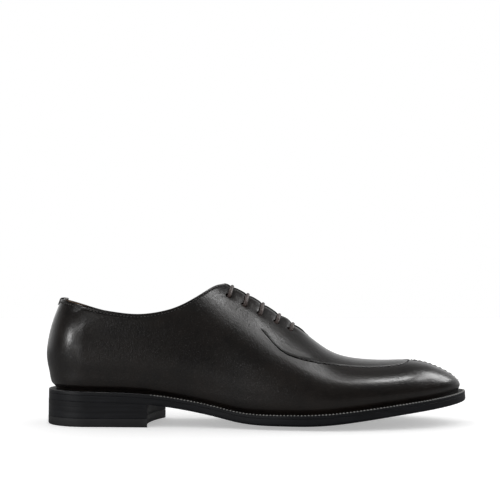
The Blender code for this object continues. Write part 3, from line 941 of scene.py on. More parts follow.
def upperGrid(stations, side, extra=0.0):
    # bare surface, normals, and each point's along, over and way to the top edge
    base, over, toEdge = [], [], []
    for along in stations:
        total = section(along, side)[1][-1]
        end = min(leatherEnd(along, side) + extra, total) if along < lacing["slitEnd"] else total
        strength = float(smoothStep((along - apron["start"] + 12) / 12))
        arcs = rowArcs(end, total, apronOver(max(along, apron["start"])), strength)
        base.append(placesOn(along, side, arcs))
        over.append(total - arcs)
        toEdge.append(end - arcs)
    base, over, toEdge = np.array(base), np.array(over), np.array(toEdge)
    normal = np.cross(np.gradient(base, axis=1), np.gradient(base, axis=0)) * sides[side]
    normal[0, :, 1] = normal[-1, :, 1] = 0
    closed = stations >= lacing["slitEnd"]
    normal[closed, -1, 1] = 0
    normal /= np.maximum(np.linalg.norm(normal, axis=2, keepdims=True), 1e-9)
    # the leather is lasted in under itself just above the welt, deepest round the heel
    tuck = upperCut["tuck"]
    deep = tuck["deep"] + tuck["heelDeep"] * smoothStep((110 - stations) / 40)
    pulled = deep[:, None] * (1 - smoothStep((over[:, :1] - over) / tuck["reach"]))
    sideways = normal * (1, 1, 0)
    sideways /= np.maximum(np.linalg.norm(sideways, axis=2, keepdims=True), 1e-9)
    return base - pulled[:, :, None] * sideways, normal, over, toEdge


def meetAtCrest(lateral, medial, closed):
    shared = (lateral[closed, -1] + medial[closed, -1]) / 2
    shared[:, 1] = 0
    lateral[closed, -1] = medial[closed, -1] = shared


def upperStations():
    cut = upperCut
    plain = stationsAlong(*lastSpan, cut["step"], cut["capSteps"])
    fine = np.concatenate((np.linspace(256.5, 267.5, 26), np.linspace(268.1, 297.0, 48)))
    marks = np.concatenate((fine, [lacing["slitTop"], lacing["slitEnd"]]))
    apart = np.abs(plain[:, None] - marks[None]).min(axis=1) > 0.3
    return np.sort(np.concatenate((plain[apart], marks)))


def cutEyelets(mesh, radius):
    # punches the ten eyelet holes with one cutter
    shape = bmesh.new()
    for bar, reach in zip(lacing["bars"], lacing["reach"]):
        for side in sides:
            along, over = bar - lacing["lean"] - lacing["holeBack"], reach + lacing["holeOut"]
            place, normal = onLeather(along, over, side)
            turned = Vector(normal).to_track_quat("Z", "Y").to_matrix().to_4x4()
            turned.translation = Vector(toFrame(place)[0])
            bmesh.ops.create_cone(
                shape, cap_ends=True, segments=20, radius1=radius / 1000,
                radius2=radius / 1000, depth=lacing["cutterLong"] / 1000, matrix=turned,
            )
    cutterMesh = bpy.data.meshes.new("eyeletCutter")
    shape.to_mesh(cutterMesh)
    shape.free()
    cutter, target = newObject("eyeletCutter", cutterMesh), newObject("eyeletTarget", mesh)
    modifier = target.modifiers.new("holes", "BOOLEAN")
    modifier.object, modifier.operation, modifier.solver = cutter, "DIFFERENCE", "EXACT"
    holed = bakedMesh(target)
    for item in (cutter, target):
        bpy.data.objects.remove(item, do_unlink=True)
    return shaded(holed)


# How the painted shade in the seams' grooves is drawn on the leather, in millimetres from the seam's
# own line.
seamShadeMarks = {
    "core": 0.4,
    "wide": 0.85,
    "depth": -0.5,
    "fadeBetween": 0.95,
    "collarSpots": 300,
    # how dark the painted shade in the collar's stitch channel is
    "collarShade": 0.8,
    # how far past the slit's edge the painted slit shade reaches
    "slitShadeWide": 0.75,
}


def leatherPath(spots, lift=0.0):
    # spots are (along, over, side)
    pairs = [onLeather(along, over, side, lift) for along, over, side in spots]
    return [place for place, _ in pairs], [normal for _, normal in pairs]


def collarSpots(side, inside, count=110):
    spots = []
    for along in np.linspace(lastForm["back"] + 0.3, lacing["slitTop"] - 2, count):
        total = section(along, side)[1][-1]
        over = max(total - leatherEnd(along, side), slitHalfGap(along)) + inside
        spots.append((along, over, side))
    return spots


def paintSeamAndSlitShade(mesh):
    # paints shade on each point by how deep it lies in the apron seam's groove and in the collar's
    # stitch channel, and inks the facings' cut edges along the slit, deepened as painted shade
    lines = KDTree(2 * (len(apronPath) // 2 + seamShadeMarks["collarSpots"]) + 2)
    shadeStrengths = []
    for side in sides:
        spots = [(along, over, side) for along, over in apronPath[::2]]
        held = pulledShut(apronRun[::2])
        beat = np.cos(2 * math.pi * apronRun[::2] / apron["pitch"])
        dark = 1 - held * seamShadeMarks["fadeBetween"] * (0.5 - 0.5 * beat)
        collar = collarSpots(side, upperCut["stitchIn"], seamShadeMarks["collarSpots"])
        for lift, strength, path in (
            (seamShadeMarks["depth"], dark, spots),
            (-0.1, np.full(len(collar), seamShadeMarks["collarShade"]), collar),
        ):
            for place, value in zip(leatherPath(path, lift)[0], strength):
                lines.insert(place, len(shadeStrengths))
                shadeStrengths.append(value)
    lines.balance()
    places = np.empty(3 * len(mesh.vertices))
    mesh.vertices.foreach_get("co", places)
    values = []
    for place in places.reshape(-1, 3) * 1000 + middle:
        number, away = lines.find(place)[1:]
        share = (seamShadeMarks["wide"] - away) / (seamShadeMarks["wide"] - seamShadeMarks["core"])
        values.append(shadeStrengths[number] * min(max(share, 0.0), 1.0))
    mesh.attributes.new("seam", "FLOAT", "POINT").data.foreach_set("value", values)
    centres = np.empty(3 * len(mesh.polygons))
    mesh.polygons.foreach_get("center", centres)
    along, out = (centres.reshape(-1, 3) * 1000 + middle).T[:2]
    # faces along the slit take the dark edge material: ink on the cut edges and painted shade in the
    # gap
    inSlitShade = (along > lacing["slitTop"] + 1) & (along < lacing["slitEnd"] + 0.6)
    inSlitShade &= np.abs(out) < lacing["slitGap"] / 2 + seamShadeMarks["slitShadeWide"]
    for material in ("calf", "cutEdgeSlitShade"):
        mesh.materials.append(materials[material])
    mesh.polygons.foreach_set("material_index", inSlitShade.astype(np.int32))


def openRims(stations):
    # the two rims where both walls meet: above the welt, and along the collar and the slit
    slitColumns = int(np.searchsorted(stations, lacing["slitEnd"])) + 1

    def rims(columns, rows):
        yield [i * rows for i in range(columns)]
        yield [i * rows + rows - 1 for i in range(slitColumns)]

    return rims


def makeUpper(stations):
    closed = stations >= lacing["slitEnd"]
    roll, outers, inners = upperCut["roll"], [], []
    for side in sides:
        base, normal, over, toEdge = upperGrid(stations, side)
        columns, rows = over.shape
        along, flatOver = np.repeat(stations, rows), over.ravel()
        relief = seamRelief(along, flatOver) + foldRelief(along, flatOver, side)
        relief += lacingRelief(along, flatOver, side) + heelRelief(along, base[:, :, 2].ravel())
        relief += edgeRelief(along, flatOver, toEdge.ravel(), np.repeat(over[:, 0], rows))
        near = np.clip(roll - toEdge, 0, roll)
        curl = roll - np.sqrt(roll**2 - near**2)
        curl[closed] = 0
        if side == "medial":
            curl[stations > lacing["slitTop"] + 2] *= upperCut["innerRoll"]
        outers.append(base + (relief.reshape(columns, rows) - curl)[:, :, None] * normal)
        inners.append(base - (upperCut["calf"] - 0.7 * curl)[:, :, None] * normal)
        for grid in (outers[-1], inners[-1]):
            grid[:, 0, 2] -= 0.8 * soleForm["gap"]
    for grids in (outers, inners):
        meetAtCrest(*grids, closed)
    mesh = wallBetween("upperMesh", outers, inners, openRims(stations))
    mesh = cutEyelets(mesh, lacing["holeRadius"])
    paintSeamAndSlitShade(mesh)
    finishPiece("wholecutUpper", mesh, "calf", ("upper",))


def makeLining(stations):
    coarse = stations[::2] if len(stations) % 2 else np.append(stations[::2], stations[-1])
    coarse = np.union1d(coarse, [lacing["slitEnd"]])
    closed = coarse >= lacing["slitEnd"]
    outers, inners = [], []
    for side in sides:
        base, normal = upperGrid(coarse, side, -upperCut["liningLower"])[:2]
        base, normal = base[:, ::2], normal[:, ::2]
        outers.append(base - (upperCut["calf"] + upperCut["liningGap"]) * normal)
        inners.append(base - upperCut["wall"] * normal)
    for grids in (outers, inners):
        meetAtCrest(*grids, closed)
    mesh = wallBetween("liningMesh", outers, inners, openRims(coarse))
    mesh = cutEyelets(mesh, lacing["holeRadius"] + lacing["liningWider"])
    finishPiece("upperLining", mesh, "lining")


makeUpper(upperStations())
makeLining(upperStations())
print("upper and lining made")


# Sole, heel and footbed


def insetOutline(span, lines):
    # a function for the outline at a way along, drawn in by an inset
    start, end, heelRound, toeRound = span

    def outlineAt(along, inset):
        at = start + inset + (along - start) * (1 - 2 * inset / (end - start))
        ends = roundEnd(at - start - inset, heelRound - inset)
        ends = ends * roundEnd(end - inset - at, toeRound - inset)
        return (at, *(float((line(at) - inset) * ends) for line in lines))

    return outlineAt


soleOutline = insetOutline(soleSpan, [soleLines[side] for side in sides])
featherOutline = insetOutline(lastSpan, [lastLines["feather" + side.title()] for side in sides])


def plateMesh(name, outlineAt, stations, levels, columns, highlightStrips=0):
    # levels are (height function, inset) from the top down; only the first and last are covered.
    # The first strips of the side, as many as the count says, take the second material: a painted
    # highlight along the top rim.
    shares = np.concatenate((-columns[::-1], columns[1:]))
    points, faces, edges, highlightFaces = [], [], None, []
    for number, (height, inset) in enumerate(levels):
        covered = number in (0, len(levels) - 1)
        used = shares if covered else (-1.0, 1.0)
        first = len(points)
        for along in stations:
            at, lateral, medial = outlineAt(along, inset(along) if callable(inset) else inset)
            for share in used:
                out = share * (medial if share > 0 else lateral)
                points.append((at, out, float(height(at, out))))
        if covered:
            faces += gridFaces(len(stations), len(used), first)
        above = edges
        edges = [[first + i * len(used) + k for i in range(len(stations))] for k in (0, len(used) - 1)]
        if above:
            made = strip(above[0], edges[0]) + strip(above[1], edges[1])
            highlightFaces += range(len(faces), len(faces) + len(made) * (number <= highlightStrips))
            faces += made
    return meshFrom(name, points, faces, sharp=soleCut["sharp"], second=highlightFaces)


soleCut = {
    "step": 1.8,
    "capSteps": 26,
    "sharp": 35,
    "columns": np.linspace(0, 1, 15) ** 0.8,
    "weltBevel": 0.8,
    "sockThick": 2.6,
    "sockInset": 4.4,
    "sockStep": 3.0,
    "sockCapSteps": 18,
    "sockCurl": 1.4,
}


def makeSolePlates():
    form, cut = soleForm, soleCut
    stations, columns = stationsAlong(*soleSpan, cut["step"], cut["capSteps"]), cut["columns"]
    inset, bevel = form["weltInset"], cut["weltBevel"]

    def below(drop):
        return lambda along, out: footbed(along, out) - drop

    thick = form["weltThick"]
    levels = (
        (below(0), inset + bevel),
        (below(0.2), inset + 0.25),
        (below(0.6), inset),
        (below(thick - 0.1), inset),
        (below(thick), inset + 0.1),
    )
    # the welt's top rim takes the second, pale material: a painted highlight
    mesh = plateMesh("weltMesh", soleOutline, stations, levels, columns, highlightStrips=1)
    finishPiece("flatWelt", mesh, "welt", ("welt",), extra="weltRimHighlight")
    top = thick + form["gap"] * 0.4

    def rising(lift):
        return lambda along, out: outsoleFoot(along, out) + lift

    def rounded(here, overHeel):
        # the corner is rounded in front of the heel and square over it
        def insetAt(along):
            return inset + overHeel + (here - overHeel) * float(smoothStep((along - 76) / 8))

        return insetAt

    levels = (
        (below(top), inset + 0.06),
        (below(top + 0.06), inset),
        (rising(1.6), rounded(-0.25, 0)),
        (rising(0.8), rounded(-0.1, 0)),
        (rising(0.25), rounded(0.2, 0)),
        (rising(0.0), rounded(0.7, 0.06)),
    )
    mesh = plateMesh("outsoleMesh", soleOutline, stations, levels, columns)
    finishPiece("leatherOutsole", mesh, "edge", ("outsole",))
    sock, gap, sockInset = cut["sockThick"], form["gap"], cut["sockInset"]

    def cupped(along, out):
        # the footbed curls up a little at its rim round the heel
        half = max(featherOutline(along, sockInset)[1:])
        curl = cut["sockCurl"] * smoothStep((abs(out) / max(half, 1) - 0.55) / 0.45)
        return footbed(along, out) + gap + sock + curl * smoothStep((120 - along) / 60)

    levels = ((cupped, sockInset), (below(-gap), sockInset))
    plain = stationsAlong(*lastSpan, cut["sockStep"], cut["sockCapSteps"])
    mesh = plateMesh("sockMesh", featherOutline, plain, levels, columns)
    finishPiece("leatherSock", mesh, "lining", ("insole",))


heelCut = {
    "length": 80.2,
    "topPiece": 6.0,
    "hollow": 5.0,
    "skew": 6.4,
    "breastSteps": 16,
    "lifts": 3,
    "sideInset": 0.36,
    "rimInset": 0.5,
    "lipDeep": 0.015,
    "lip": 0.14,
}


def heelLoop(inset):
    turn = 1 - np.cos(np.linspace(0, math.pi / 2, 25))
    rest = np.linspace(soleForm["heelRound"], heelCut["length"], 12)[1:]
    stations = (*(soleForm["heelRound"] * turn), *rest)
    rows = [soleOutline(along, inset) for along in stations]
    skew = math.tan(math.radians(heelCut["skew"]))
    lateral = [(at, -half) for at, half, _ in rows]
    medial = [(at, half) for at, _, half in rows]
    for line in (lateral, medial):
        line[-1] = (heelCut["length"] - 0.4 * inset + skew * line[-1][1], line[-1][1])
    start, end = np.array(lateral[-1]), np.array(medial[-1])
    breast = []
    for share in np.linspace(0, 1, heelCut["breastSteps"] + 1)[1:-1]:
        hollow = 4 * heelCut["hollow"] * share * (1 - share)
        breast.append(tuple(start + (end - start) * share - (hollow, 0)))
    return lateral + breast + medial[:0:-1]


def loopMesh(name, levels):
    # levels are (height function, inset) from the foot up
    points = []
    for height, inset in levels:
        points.extend((along, out, float(height(along, out))) for along, out in heelLoop(inset))
    count = len(points) // len(levels)
    faces = [tuple(range(count)), tuple(range(len(points) - count, len(points)))]
    for first in range(0, len(points) - count, count):
        ring = [first + i % count for i in range(count + 1)]
        faces += strip(ring, [i + count for i in ring])
    return meshFrom(name, points, faces, sharp=soleCut["sharp"])


def makeHeel():
    cut, form = heelCut, soleForm
    foot = cut["topPiece"] + form["gap"] * 0.5

    def stackTop(along, out):
        drop = form["weltThick"] + form["gap"] * 1.3 + form["soleThick"]
        return float(footbed(along, 0)) - drop

    def at(share, lift=0.0):
        return lambda along, out: foot + share * (stackTop(along, out) - foot) + lift

    side, rim = cut["sideInset"], cut["rimInset"]
    levels = [(at(0), rim), (at(0, 0.1), side)]
    for lift in range(1, cut["lifts"]):
        share = lift / cut["lifts"]
        levels += [
            (at(share, -cut["lip"]), side),
            (at(share), side + cut["lipDeep"]),
            (at(share, cut["lip"]), side),
        ]
    levels += [(at(1, -0.1), side), (at(1), rim)]
    finishPiece("heelStack", loopMesh("stackMesh", levels), "edge", ("heel_stack",))

    def flat(height):
        return lambda along, out: height

    top = cut["topPiece"]
    rows = ((0.0, 1.0), (0.2, 0.55), (0.7, 0.3), (top - 0.1, 0.3), (top, 0.45))
    levels = [(flat(height), inset) for height, inset in rows]
    mesh = loopMesh("topPieceMesh", levels)
    finishPiece("heelTopPiece", mesh, "rubber", ("heel_top_piece",))


makeSolePlates()
makeHeel()
print("sole, heel and footbed made")


# Tongue, heel tab and lace

tongueCut = {"top": 127.5, "end": 200.0, "halfTop": 24.0, "halfEnd": 15.0, "thick": 1.5, "lift": -4.6}


def makeTongue():
    cut = tongueCut
    stations, shares = np.linspace(cut["top"], cut["end"], 60), np.linspace(-1, 1, 41)
    grids = []
    for lift in (cut["lift"], cut["lift"] - cut["thick"]):
        grid = []
        for along in stations:
            down = (along - cut["top"]) / (cut["end"] - cut["top"])
            half = cut["halfTop"] + (cut["halfEnd"] - cut["halfTop"]) * down
            column = []
            for share in shares:
                edge = 0.5 * cut["thick"] * smoothStep((abs(share) - 0.94) / 0.06)
                curl = -edge if lift == cut["lift"] else edge
                side = "medial" if share > 0 else "lateral"
                column.append(onLeather(along, abs(share) * half, side, lift + 0.8 * curl)[0])
            grid.append(column)
        grids.append(np.array(grid))
    mesh = wallBetween("tongueMesh", grids[:1], grids[1:], allRims)
    finishPiece("leatherTongue", mesh, "shadedTongueCalf", ("tongue",))


tabCut = {
    "half": 5.5,
    "thick": 0.75,
    "outside": 4.0,
    "roll": 0.3,
    "reach": 3.0,
    "drop": 0.5,
    "inside": 3.0,
    "narrowing": 0.82,
    "columns": 16,
}


def makeHeelTab():
    cut, gap = tabCut, soleForm["gap"]
    turn = np.linspace(0.15, math.pi, 22)
    centre, over = (gap - cut["reach"]) / 2, (cut["reach"] + gap) / 2
    arch = [(centre + over * math.cos(a), gap + cut["roll"] * math.sin(a)) for a in turn]
    down = [(gap, height) for height in np.linspace(-cut["outside"], -0.5, 8)]
    tail = [(-cut["reach"], height) for height in np.linspace(-0.6, -cut["inside"], 5)]
    profile = np.array(down + arch + tail)
    tangent = np.gradient(profile, axis=0)
    normal = np.column_stack((tangent[:, 1], -tangent[:, 0]))
    normal /= np.linalg.norm(normal, axis=1, keepdims=True)
    normal *= np.sign(normal[0, 0])
    grids = []
    for lift in (cut["thick"], 0.0):
        grid = []
        for share in np.linspace(-1, 1, cut["columns"] + 1):
            out = share * cut["half"]
            side = "Medial" if share > 0 else "Lateral"
            bend = float(lastLines["widest" + side](lastForm["back"])) * cut["narrowing"]
            deep = lastForm["heelRound"] * (1 - math.sqrt(1 - (out / bend) ** 2))
            top = float(toplineLines[side.lower()](lastForm["back"] + deep)) - cut["drop"]
            thin = 1 - 0.45 * smoothStep((abs(share) - 0.8) / 0.2)
            column = [
                (float(backLine(top + up)) + deep - outward, out, top + up)
                for outward, up in profile + lift * thin * normal
            ]
            grid.append(column)
        grids.append(np.array(grid))
    mesh = wallBetween("tabMesh", grids[:1], grids[1:], allRims)
    finishPiece("heelTab", mesh, "calf", ("heel_tab",))


makeTongue()
makeHeelTab()
print("tongue and heel tab made")


def pathObject(name, points, ups):
    # a line of edges that carries the leather's normal at each point
    mesh = bpy.data.meshes.new(name)
    mesh.from_pydata(toFrame(points).tolist(), [(i, i + 1) for i in range(len(points) - 1)], [])
    layer = mesh.attributes.new("up", "FLOAT_VECTOR", "POINT")
    layer.data.foreach_set("vector", np.asarray(ups, np.float32).ravel())
    return newObject(name, mesh)


def newTree(name, inputs):
    tree = bpy.data.node_groups.new(name, "GeometryNodeTree")
    tree.interface.new_socket(name="Geometry", in_out="INPUT", socket_type="NodeSocketGeometry")
    for title, kind in inputs:
        tree.interface.new_socket(name=title, in_out="INPUT", socket_type="NodeSocket" + kind)
    tree.interface.new_socket(name="Geometry", in_out="OUTPUT", socket_type="NodeSocketGeometry")
    given = tree.nodes.new("NodeGroupInput")
    wires = {socket.name: Wire(tree, socket) for socket in given.outputs if socket.name}
    return tree, Board(tree), wires


def endTree(tree, board, given, shape):
    whole = board.add("GeometryNodeRealizeInstances", {}, {"Geometry": shape})
    smooth = board.add("GeometryNodeSetShadeSmooth", {}, {"Geometry": whole, "Shade Smooth": True})
    painted = board.add(
        "GeometryNodeSetMaterial", {}, {"Geometry": smooth, "Material": given["Material"]}
    )
    made = tree.nodes.new("NodeGroupOutput")
    plug(tree, made.inputs[0], painted)
    return tree


def stitchTree():
    # short rounded bodies set along a path, turned to it and to the surface under it
    sizes = [(name, "Float") for name in ("Pitch", "Length", "Width", "Height", "Lift", "Turn")]
    tree, board, given = newTree("alongPath", sizes + [("Material", "Material")])
    line = board.add("GeometryNodeMeshToCurve", {}, {"Mesh": given["Geometry"]})
    beads = board.add(
        "GeometryNodeResampleCurve", {"mode": "LENGTH"}, {"Curve": line, "Length": given["Pitch"]}
    )
    up = board.add(
        "GeometryNodeInputNamedAttribute", {"data_type": "FLOAT_VECTOR"}, {"Name": "up"}
    )
    aim = board.add(
        "FunctionNodeAlignRotationToVector",
        {"axis": "X"},
        {"Vector": board.add("GeometryNodeInputTangent")},
    )
    aim = board.add(
        "FunctionNodeAlignRotationToVector",
        {"axis": "Z", "pivot_axis": "X"},
        {"Rotation": aim, "Vector": up},
    )
    spin = board.add("FunctionNodeAxisAngleToRotation", {}, {"Axis": (0, 0, 1), "Angle": given["Turn"]})
    aim = board.add(
        "FunctionNodeRotateRotation", {"rotation_space": "LOCAL"}, {"Rotation": aim, "Rotate By": spin}
    )
    bead = board.add("GeometryNodeMeshUVSphere", {}, {"Segments": 8, "Rings": 6, "Radius": 0.5})
    size = board.add(
        "ShaderNodeCombineXYZ", {}, {"X": given["Length"], "Y": given["Width"], "Z": given["Height"]}
    )
    many = board.add(
        "GeometryNodeInstanceOnPoints",
        {},
        {"Points": beads, "Instance": bead, "Rotation": aim, "Scale": size},
    )
    rise = board.add("ShaderNodeCombineXYZ", {}, {"X": 0.0, "Y": 0.0, "Z": given["Lift"]})
    many = board.add(
        "GeometryNodeTranslateInstances",
        {},
        {"Instances": many, "Translation": rise, "Local Space": True},
    )
    return endTree(tree, board, given, many)


def cordTree():
    # a round cord that knows how far along it and how far round it each point lies
    tree, board, given = newTree("roundCord", [("Radius", "Float"), ("Material", "Material")])
    line = board.add("GeometryNodeMeshToCurve", {}, {"Mesh": given["Geometry"]})
    length = board.add("GeometryNodeSplineParameter", out=1)
    line = board.add(
        "GeometryNodeStoreNamedAttribute",
        {"data_type": "FLOAT", "domain": "POINT"},
        {"Geometry": line, "Name": "run", "Value": length},
    )
    ring = board.add(
        "GeometryNodeCurvePrimitiveCircle", {}, {"Resolution": 12, "Radius": given["Radius"]}
    )
    share = board.add("GeometryNodeSplineParameter", out=0)
    ring = board.add(
        "GeometryNodeStoreNamedAttribute",
        {"data_type": "FLOAT", "domain": "POINT"},
        {"Geometry": ring, "Name": "turn", "Value": share},
    )
    tube = board.add(
        "GeometryNodeCurveToMesh", {}, {"Curve": line, "Profile Curve": ring, "Fill Caps": True}
    )
    return endTree(tree, board, given, tube)


trees = {"alongPath": stitchTree(), "roundCord": cordTree()}


def grow(tree, name, points, ups, values):
    # runs a tree on a path, with its inputs set by identifier, and hands back a plain mesh
    item = pathObject(name + "Path", points, ups)
    modifier = item.modifiers.new("nodes", "NODES")
    modifier.node_group = trees[tree]
    found = {s.name: s.identifier for s in trees[tree].interface.items_tree if s.in_out == "INPUT"}
    for title, value in values.items():
        modifier[found[title]] = value
    mesh = bakedMesh(item)
    bpy.data.objects.remove(item, do_unlink=True)
    return mesh


# pitch, length, width, height, lift and turn of the stitches, in millimetres and degrees
stitchColumns = ("Pitch", "Length", "Width", "Height", "Lift", "Turn")
stitchSizes = {
    "collarStitching": (2.4, 1.5, 0.55, 0.5, 0.0, 0),
    "apronStitching": (apron["pitch"], 2.3, 0.75, 0.7, 0.3, 16),
    "toeStitching": (apron["toePitch"], 2.6, 0.55, 0.8, 0.3, 72),
    "barTack": (0.55, 3.6, 0.5, 0.8, 0.35, 90),
    "weltStitching": (3.1, 2.3, 0.62, 0.5, 0.05, 0),
    "weltFudging": (2.4, 1.9, 1.15, 0.9, 0.0, 90),
}


def seamRow(name, paths, material):
    values = {title: size / 1000 for title, size in zip(stitchColumns, stitchSizes[name])}
    values["Turn"] = math.radians(stitchSizes[name][-1])
    values["Material"] = materials[material]
    shape = bmesh.new()
    for points, ups in paths:
        shape.from_mesh(grow("alongPath", name, points, ups, values))
    whole = bpy.data.meshes.new(name + "Mesh")
    shape.to_mesh(whole)
    shape.free()
    whole.shade_smooth()
    finishPiece(name, whole, material)


def facingSpots(side, inside):
    return [
        (along, slitHalfGap(along) + inside, side)
        for along in np.linspace(lacing["slitTop"] + 1, lacing["slitEnd"] - 1, 50)
    ]


def makeStitching():
    collar = [leatherPath(collarSpots(side, upperCut["stitchIn"])) for side in sides]
    facing = [leatherPath(facingSpots(side, upperCut["stitchIn"]), 0.15) for side in sides]
    seamRow("collarStitching", collar + facing, "collarThread")
    apronRows = []
    for side in sides:
        run = np.interp(np.arange(2.0, apronRun[-1] - 1, 1.1), apronRun, np.arange(len(apronRun)))
        spots = [(*apronPath[int(round(i))], side) for i in run]
        apronRows.append(leatherPath([spot for spot in spots if spot[0] > apron["stitched"]]))
    seamRow("apronStitching", apronRows, "darkThread")
    crestRows = (("toeStitching", 266, 299.5, 60, 0.2), ("barTack", 187.2, 190.2, 8, 0.1))
    for name, start, end, count, lift in crestRows:
        path = leatherPath([(along, 0.0, "lateral") for along in np.linspace(start, end, count)], lift)
        seamRow(name, [path], "darkThread")


def weltPath(inset, start, end, lift):
    points, ups = [], []
    line = np.linspace(start, end, 130)
    outline = [soleOutline(along, inset) for along in line]
    ring = [(at, -lateral) for at, lateral, _ in outline]
    ring += [(at, medial) for at, _, medial in reversed(outline)][1:]
    for at, out in ring:
        points.append((at, out, float(footbed(at, out)) + lift))
        ups.append((0, 0, 1))
    return points, ups


def makeWeltStitching():
    stitches = weltPath(3.0, 80.0, soleForm["length"], 0.05)
    seamRow("weltStitching", [stitches], "weltThread")
    # the fudge ribs take a pale grey: painted highlights on them
    ribs = weltPath(1.25, 78.0, soleForm["length"], 0.0)
    seamRow("weltFudging", [ribs], "fudgeRibHighlight")


makeStitching()
makeWeltStitching()
print("stitching made")


def smoothPath(points, parts):
    # a soft curve through given points
    points = np.array(points, float)
    ends = np.concatenate(([2 * points[0] - points[1]], points, [2 * points[-1] - points[-2]]))
    t = np.linspace(0, 1, parts, endpoint=False)[:, None]
    made = []
    for a, b, c, d in zip(ends, ends[1:], ends[2:], ends[3:]):
        square, cube = 2 * a - 5 * b + 4 * c - d, 3 * b - a - 3 * c + d
        made.append(0.5 * (2 * b + (c - a) * t + square * t**2 + cube * t**3))
    return np.concatenate(made + [points[-1:]])


def makeLace():
    # one lace: a bar over each pair of holes, and hidden runs under the facings between them
    radius, under, lean = lacing["laceRadius"], -lacing["under"], lacing["lean"]
    path = [onLeather(lacing["bars"][0] - lean - 1, lacing["reach"][0], "lateral", under)[0]]
    near, far = "lateral", "medial"
    for bar, reach in zip(lacing["bars"], lacing["reach"]):
        for side, steps in ((near, (0.66, 0.33)), (far, (0, 0.33, 0.66))):
            hole = [(reach - before, lift) for before, lift in lacing["dips"]]
            spots = [(share * reach, lacing["barLift"]) for share in steps]
            order = hole + spots if side == near else spots + hole[::-1]
            for over, lift in order:
                share = over / reach
                path.append(onLeather(bar - lean * min(share, 1), max(over, 0), side, lift)[0])
        near, far = far, near
    last = near
    for bar in reversed(lacing["bars"]):
        path.append(onLeather(bar, lacing["endOver"], last, under)[0])
    points = smoothPath(path, 7)
    values = {"Radius": radius / 1000, "Material": materials["lace"]}
    mesh = grow("roundCord", "lace", points, np.zeros_like(points), values)
    stands = [f"lace_bar_{number}" for number in range(1, 6)]
    finishPiece("roundLace", mesh, "lace", stands)


makeLace()
print("lace made")


# Studio

studio = {
    "away": 800.0,
    "eyeUp": 95.0,
    "aimAlong": 147.7,
    "aimUp": 126.0,
    "yaw": 1.0,
    "scale": 0.736,  # millimetres to a pixel at the centre plane
    "pixels": 500,
    "sensor": 36.0,
    "world": 1.0,
    "surround": 0.03,
    "surroundBehind": 1.0,  # the pale ground behind the shoe, low down
    "surroundFront": 0.05,  # a dim soft screen over the camera and towards the heel
    "sky": 0.85,  # the even light that falls on the floor and makes its soft shadow
    "floorReach": 3.0,  # in metres, from the middle to each edge
    "floorGlow": 0.40,
    "floorMirrored": 0.28,  # how pale the floor is where the leather mirrors it
}


def makeCamera():
    yaw = math.radians(studio["yaw"])
    data = bpy.data.cameras.new("camera")
    data.sensor_width = studio["sensor"]
    data.lens = studio["away"] / studio["scale"] * studio["sensor"] / studio["pixels"]
    camera = newObject("camera", data)
    eye = (
        studio["aimAlong"] + studio["away"] * math.sin(yaw),
        -studio["away"] * math.cos(yaw),
        studio["eyeUp"],
    )
    aim = (studio["aimAlong"], 0, studio["aimUp"])
    eye, aim = (Vector(toFrame(spot)[0]) for spot in (eye, aim))
    camera.location = eye
    camera.rotation_euler = (aim - eye).to_track_quat("-Z", "Y").to_euler()
    bpy.context.scene.camera = camera


def makeFloor():
    material, board, shader, place = newMaterial("paleFloor", (0.92, 0.92, 0.92), 0.7)
    clouds = noise(board, place, 3.0, 2.0)
    shade = board.mixColours(clouds, (0.90, 0.90, 0.90), (0.94, 0.94, 0.94))
    seen = board.add("ShaderNodeLightPath")
    shade = board.mixColours(seen, (studio["floorMirrored"],) * 3, shade)
    lit = seen * studio["floorGlow"]
    glow = board.add("ShaderNodeCombineXYZ", {}, {"X": lit, "Y": lit, "Z": lit})
    board.feed(shader, {"Base Color": shade, "Emission Color": glow, "Emission Strength": 1.0})
    mesh = bpy.data.meshes.new("floorMesh")
    reach = studio["floorReach"]
    corners = [(-reach, -reach, 0), (reach, -reach, 0), (reach, reach, 0), (-reach, reach, 0)]
    mesh.from_pydata(corners, [], [(0, 1, 2, 3)])
    mesh.materials.append(material)
    floor = newObject("floor", mesh)


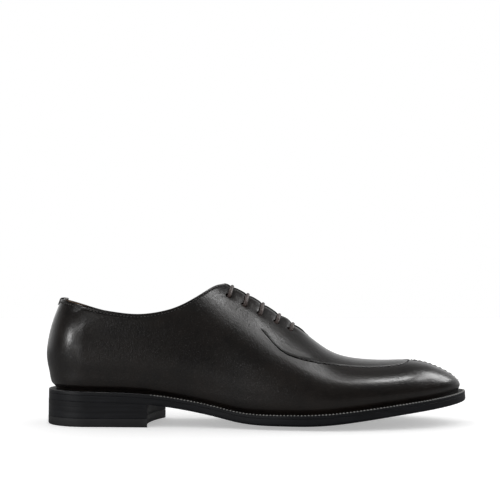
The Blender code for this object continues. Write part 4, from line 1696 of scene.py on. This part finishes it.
# place and aim are in millimetres of the shoe, size is width and height, and glow the radiance
lamps = {
    "toeSide": {"place": (780, 230, 520), "aim": (260, 0, 40), "size": (300, 300), "glow": 9.0},
    "vampSide": {"place": (850, -40, 720), "aim": (270, -20, 40), "size": (200, 150), "glow": 11.0},
    "vampHigh": {"place": (610, -75, 885), "aim": (240, -20, 40), "size": (200, 150), "glow": 27.0},
    "overhead": {"place": (400, -240, 900), "aim": (160, -20, 90), "size": (260, 70), "glow": 8.5},
    "heelSide": {"place": (-480, -400, 185), "aim": (20, 0, 60), "size": (130, 150), "glow": 21.0},
    "heelHigh": {"place": (-270, -555, 304), "aim": (15, -30, 75), "size": (230, 55), "glow": 8.0},
    "heelLow": {"place": (-265, -605, 57), "aim": (15, -30, 48), "size": (240, 45), "glow": 4.5},
}


def makeLights():
    for name, lamp in lamps.items():
        data = bpy.data.lights.new(name, "AREA")
        data.shape = "RECTANGLE"
        data.size, data.size_y = lamp["size"][0] / 1000, lamp["size"][1] / 1000
        data.energy = lamp["glow"] * math.pi * data.size * data.size_y
        light = newObject(name, data)
        place, aim = (Vector(toFrame(spot)[0]) for spot in (lamp["place"], lamp["aim"]))
        light.location = place
        light.visible_diffuse = False
        light.rotation_euler = (aim - place).to_track_quat("-Z", "Y").to_euler()
    world = bpy.data.worlds.new("studio")
    bpy.context.scene.world = world
    world.use_nodes = True
    board = Board(world.node_tree)
    seen = board.add("ShaderNodeLightPath")
    way = board.add("ShaderNodeTexCoord", out=0)
    side, depth, height = (
        board.add("ShaderNodeSeparateXYZ", {}, {"Vector": way}, out=axis) for axis in range(3)
    )
    spread = board.add("ShaderNodeLightPath", out=2)
    low = 1 - height.above(0.12, 0.45) * 0.8
    surround = studio["surround"] + depth.above(0.1, 0.8) * low * studio["surroundBehind"]
    front = (height - side * 0.8).above(0.08, 0.4) * (1 - depth.above(-0.3, 0.4))
    surround = surround + front * (1 - side.above(0.15, 0.3)) * studio["surroundFront"]
    surround = spread * studio["sky"] + (1 - spread) * surround
    strength = seen * studio["world"] + (1 - seen) * surround
    board.feed(world.node_tree.nodes["Background"], {"Strength": strength, "Color": (1, 1, 1, 1)})
    bpy.context.scene.view_settings.view_transform = "Standard"


makeCamera()
makeFloor()
makeLights()
print("studio made")
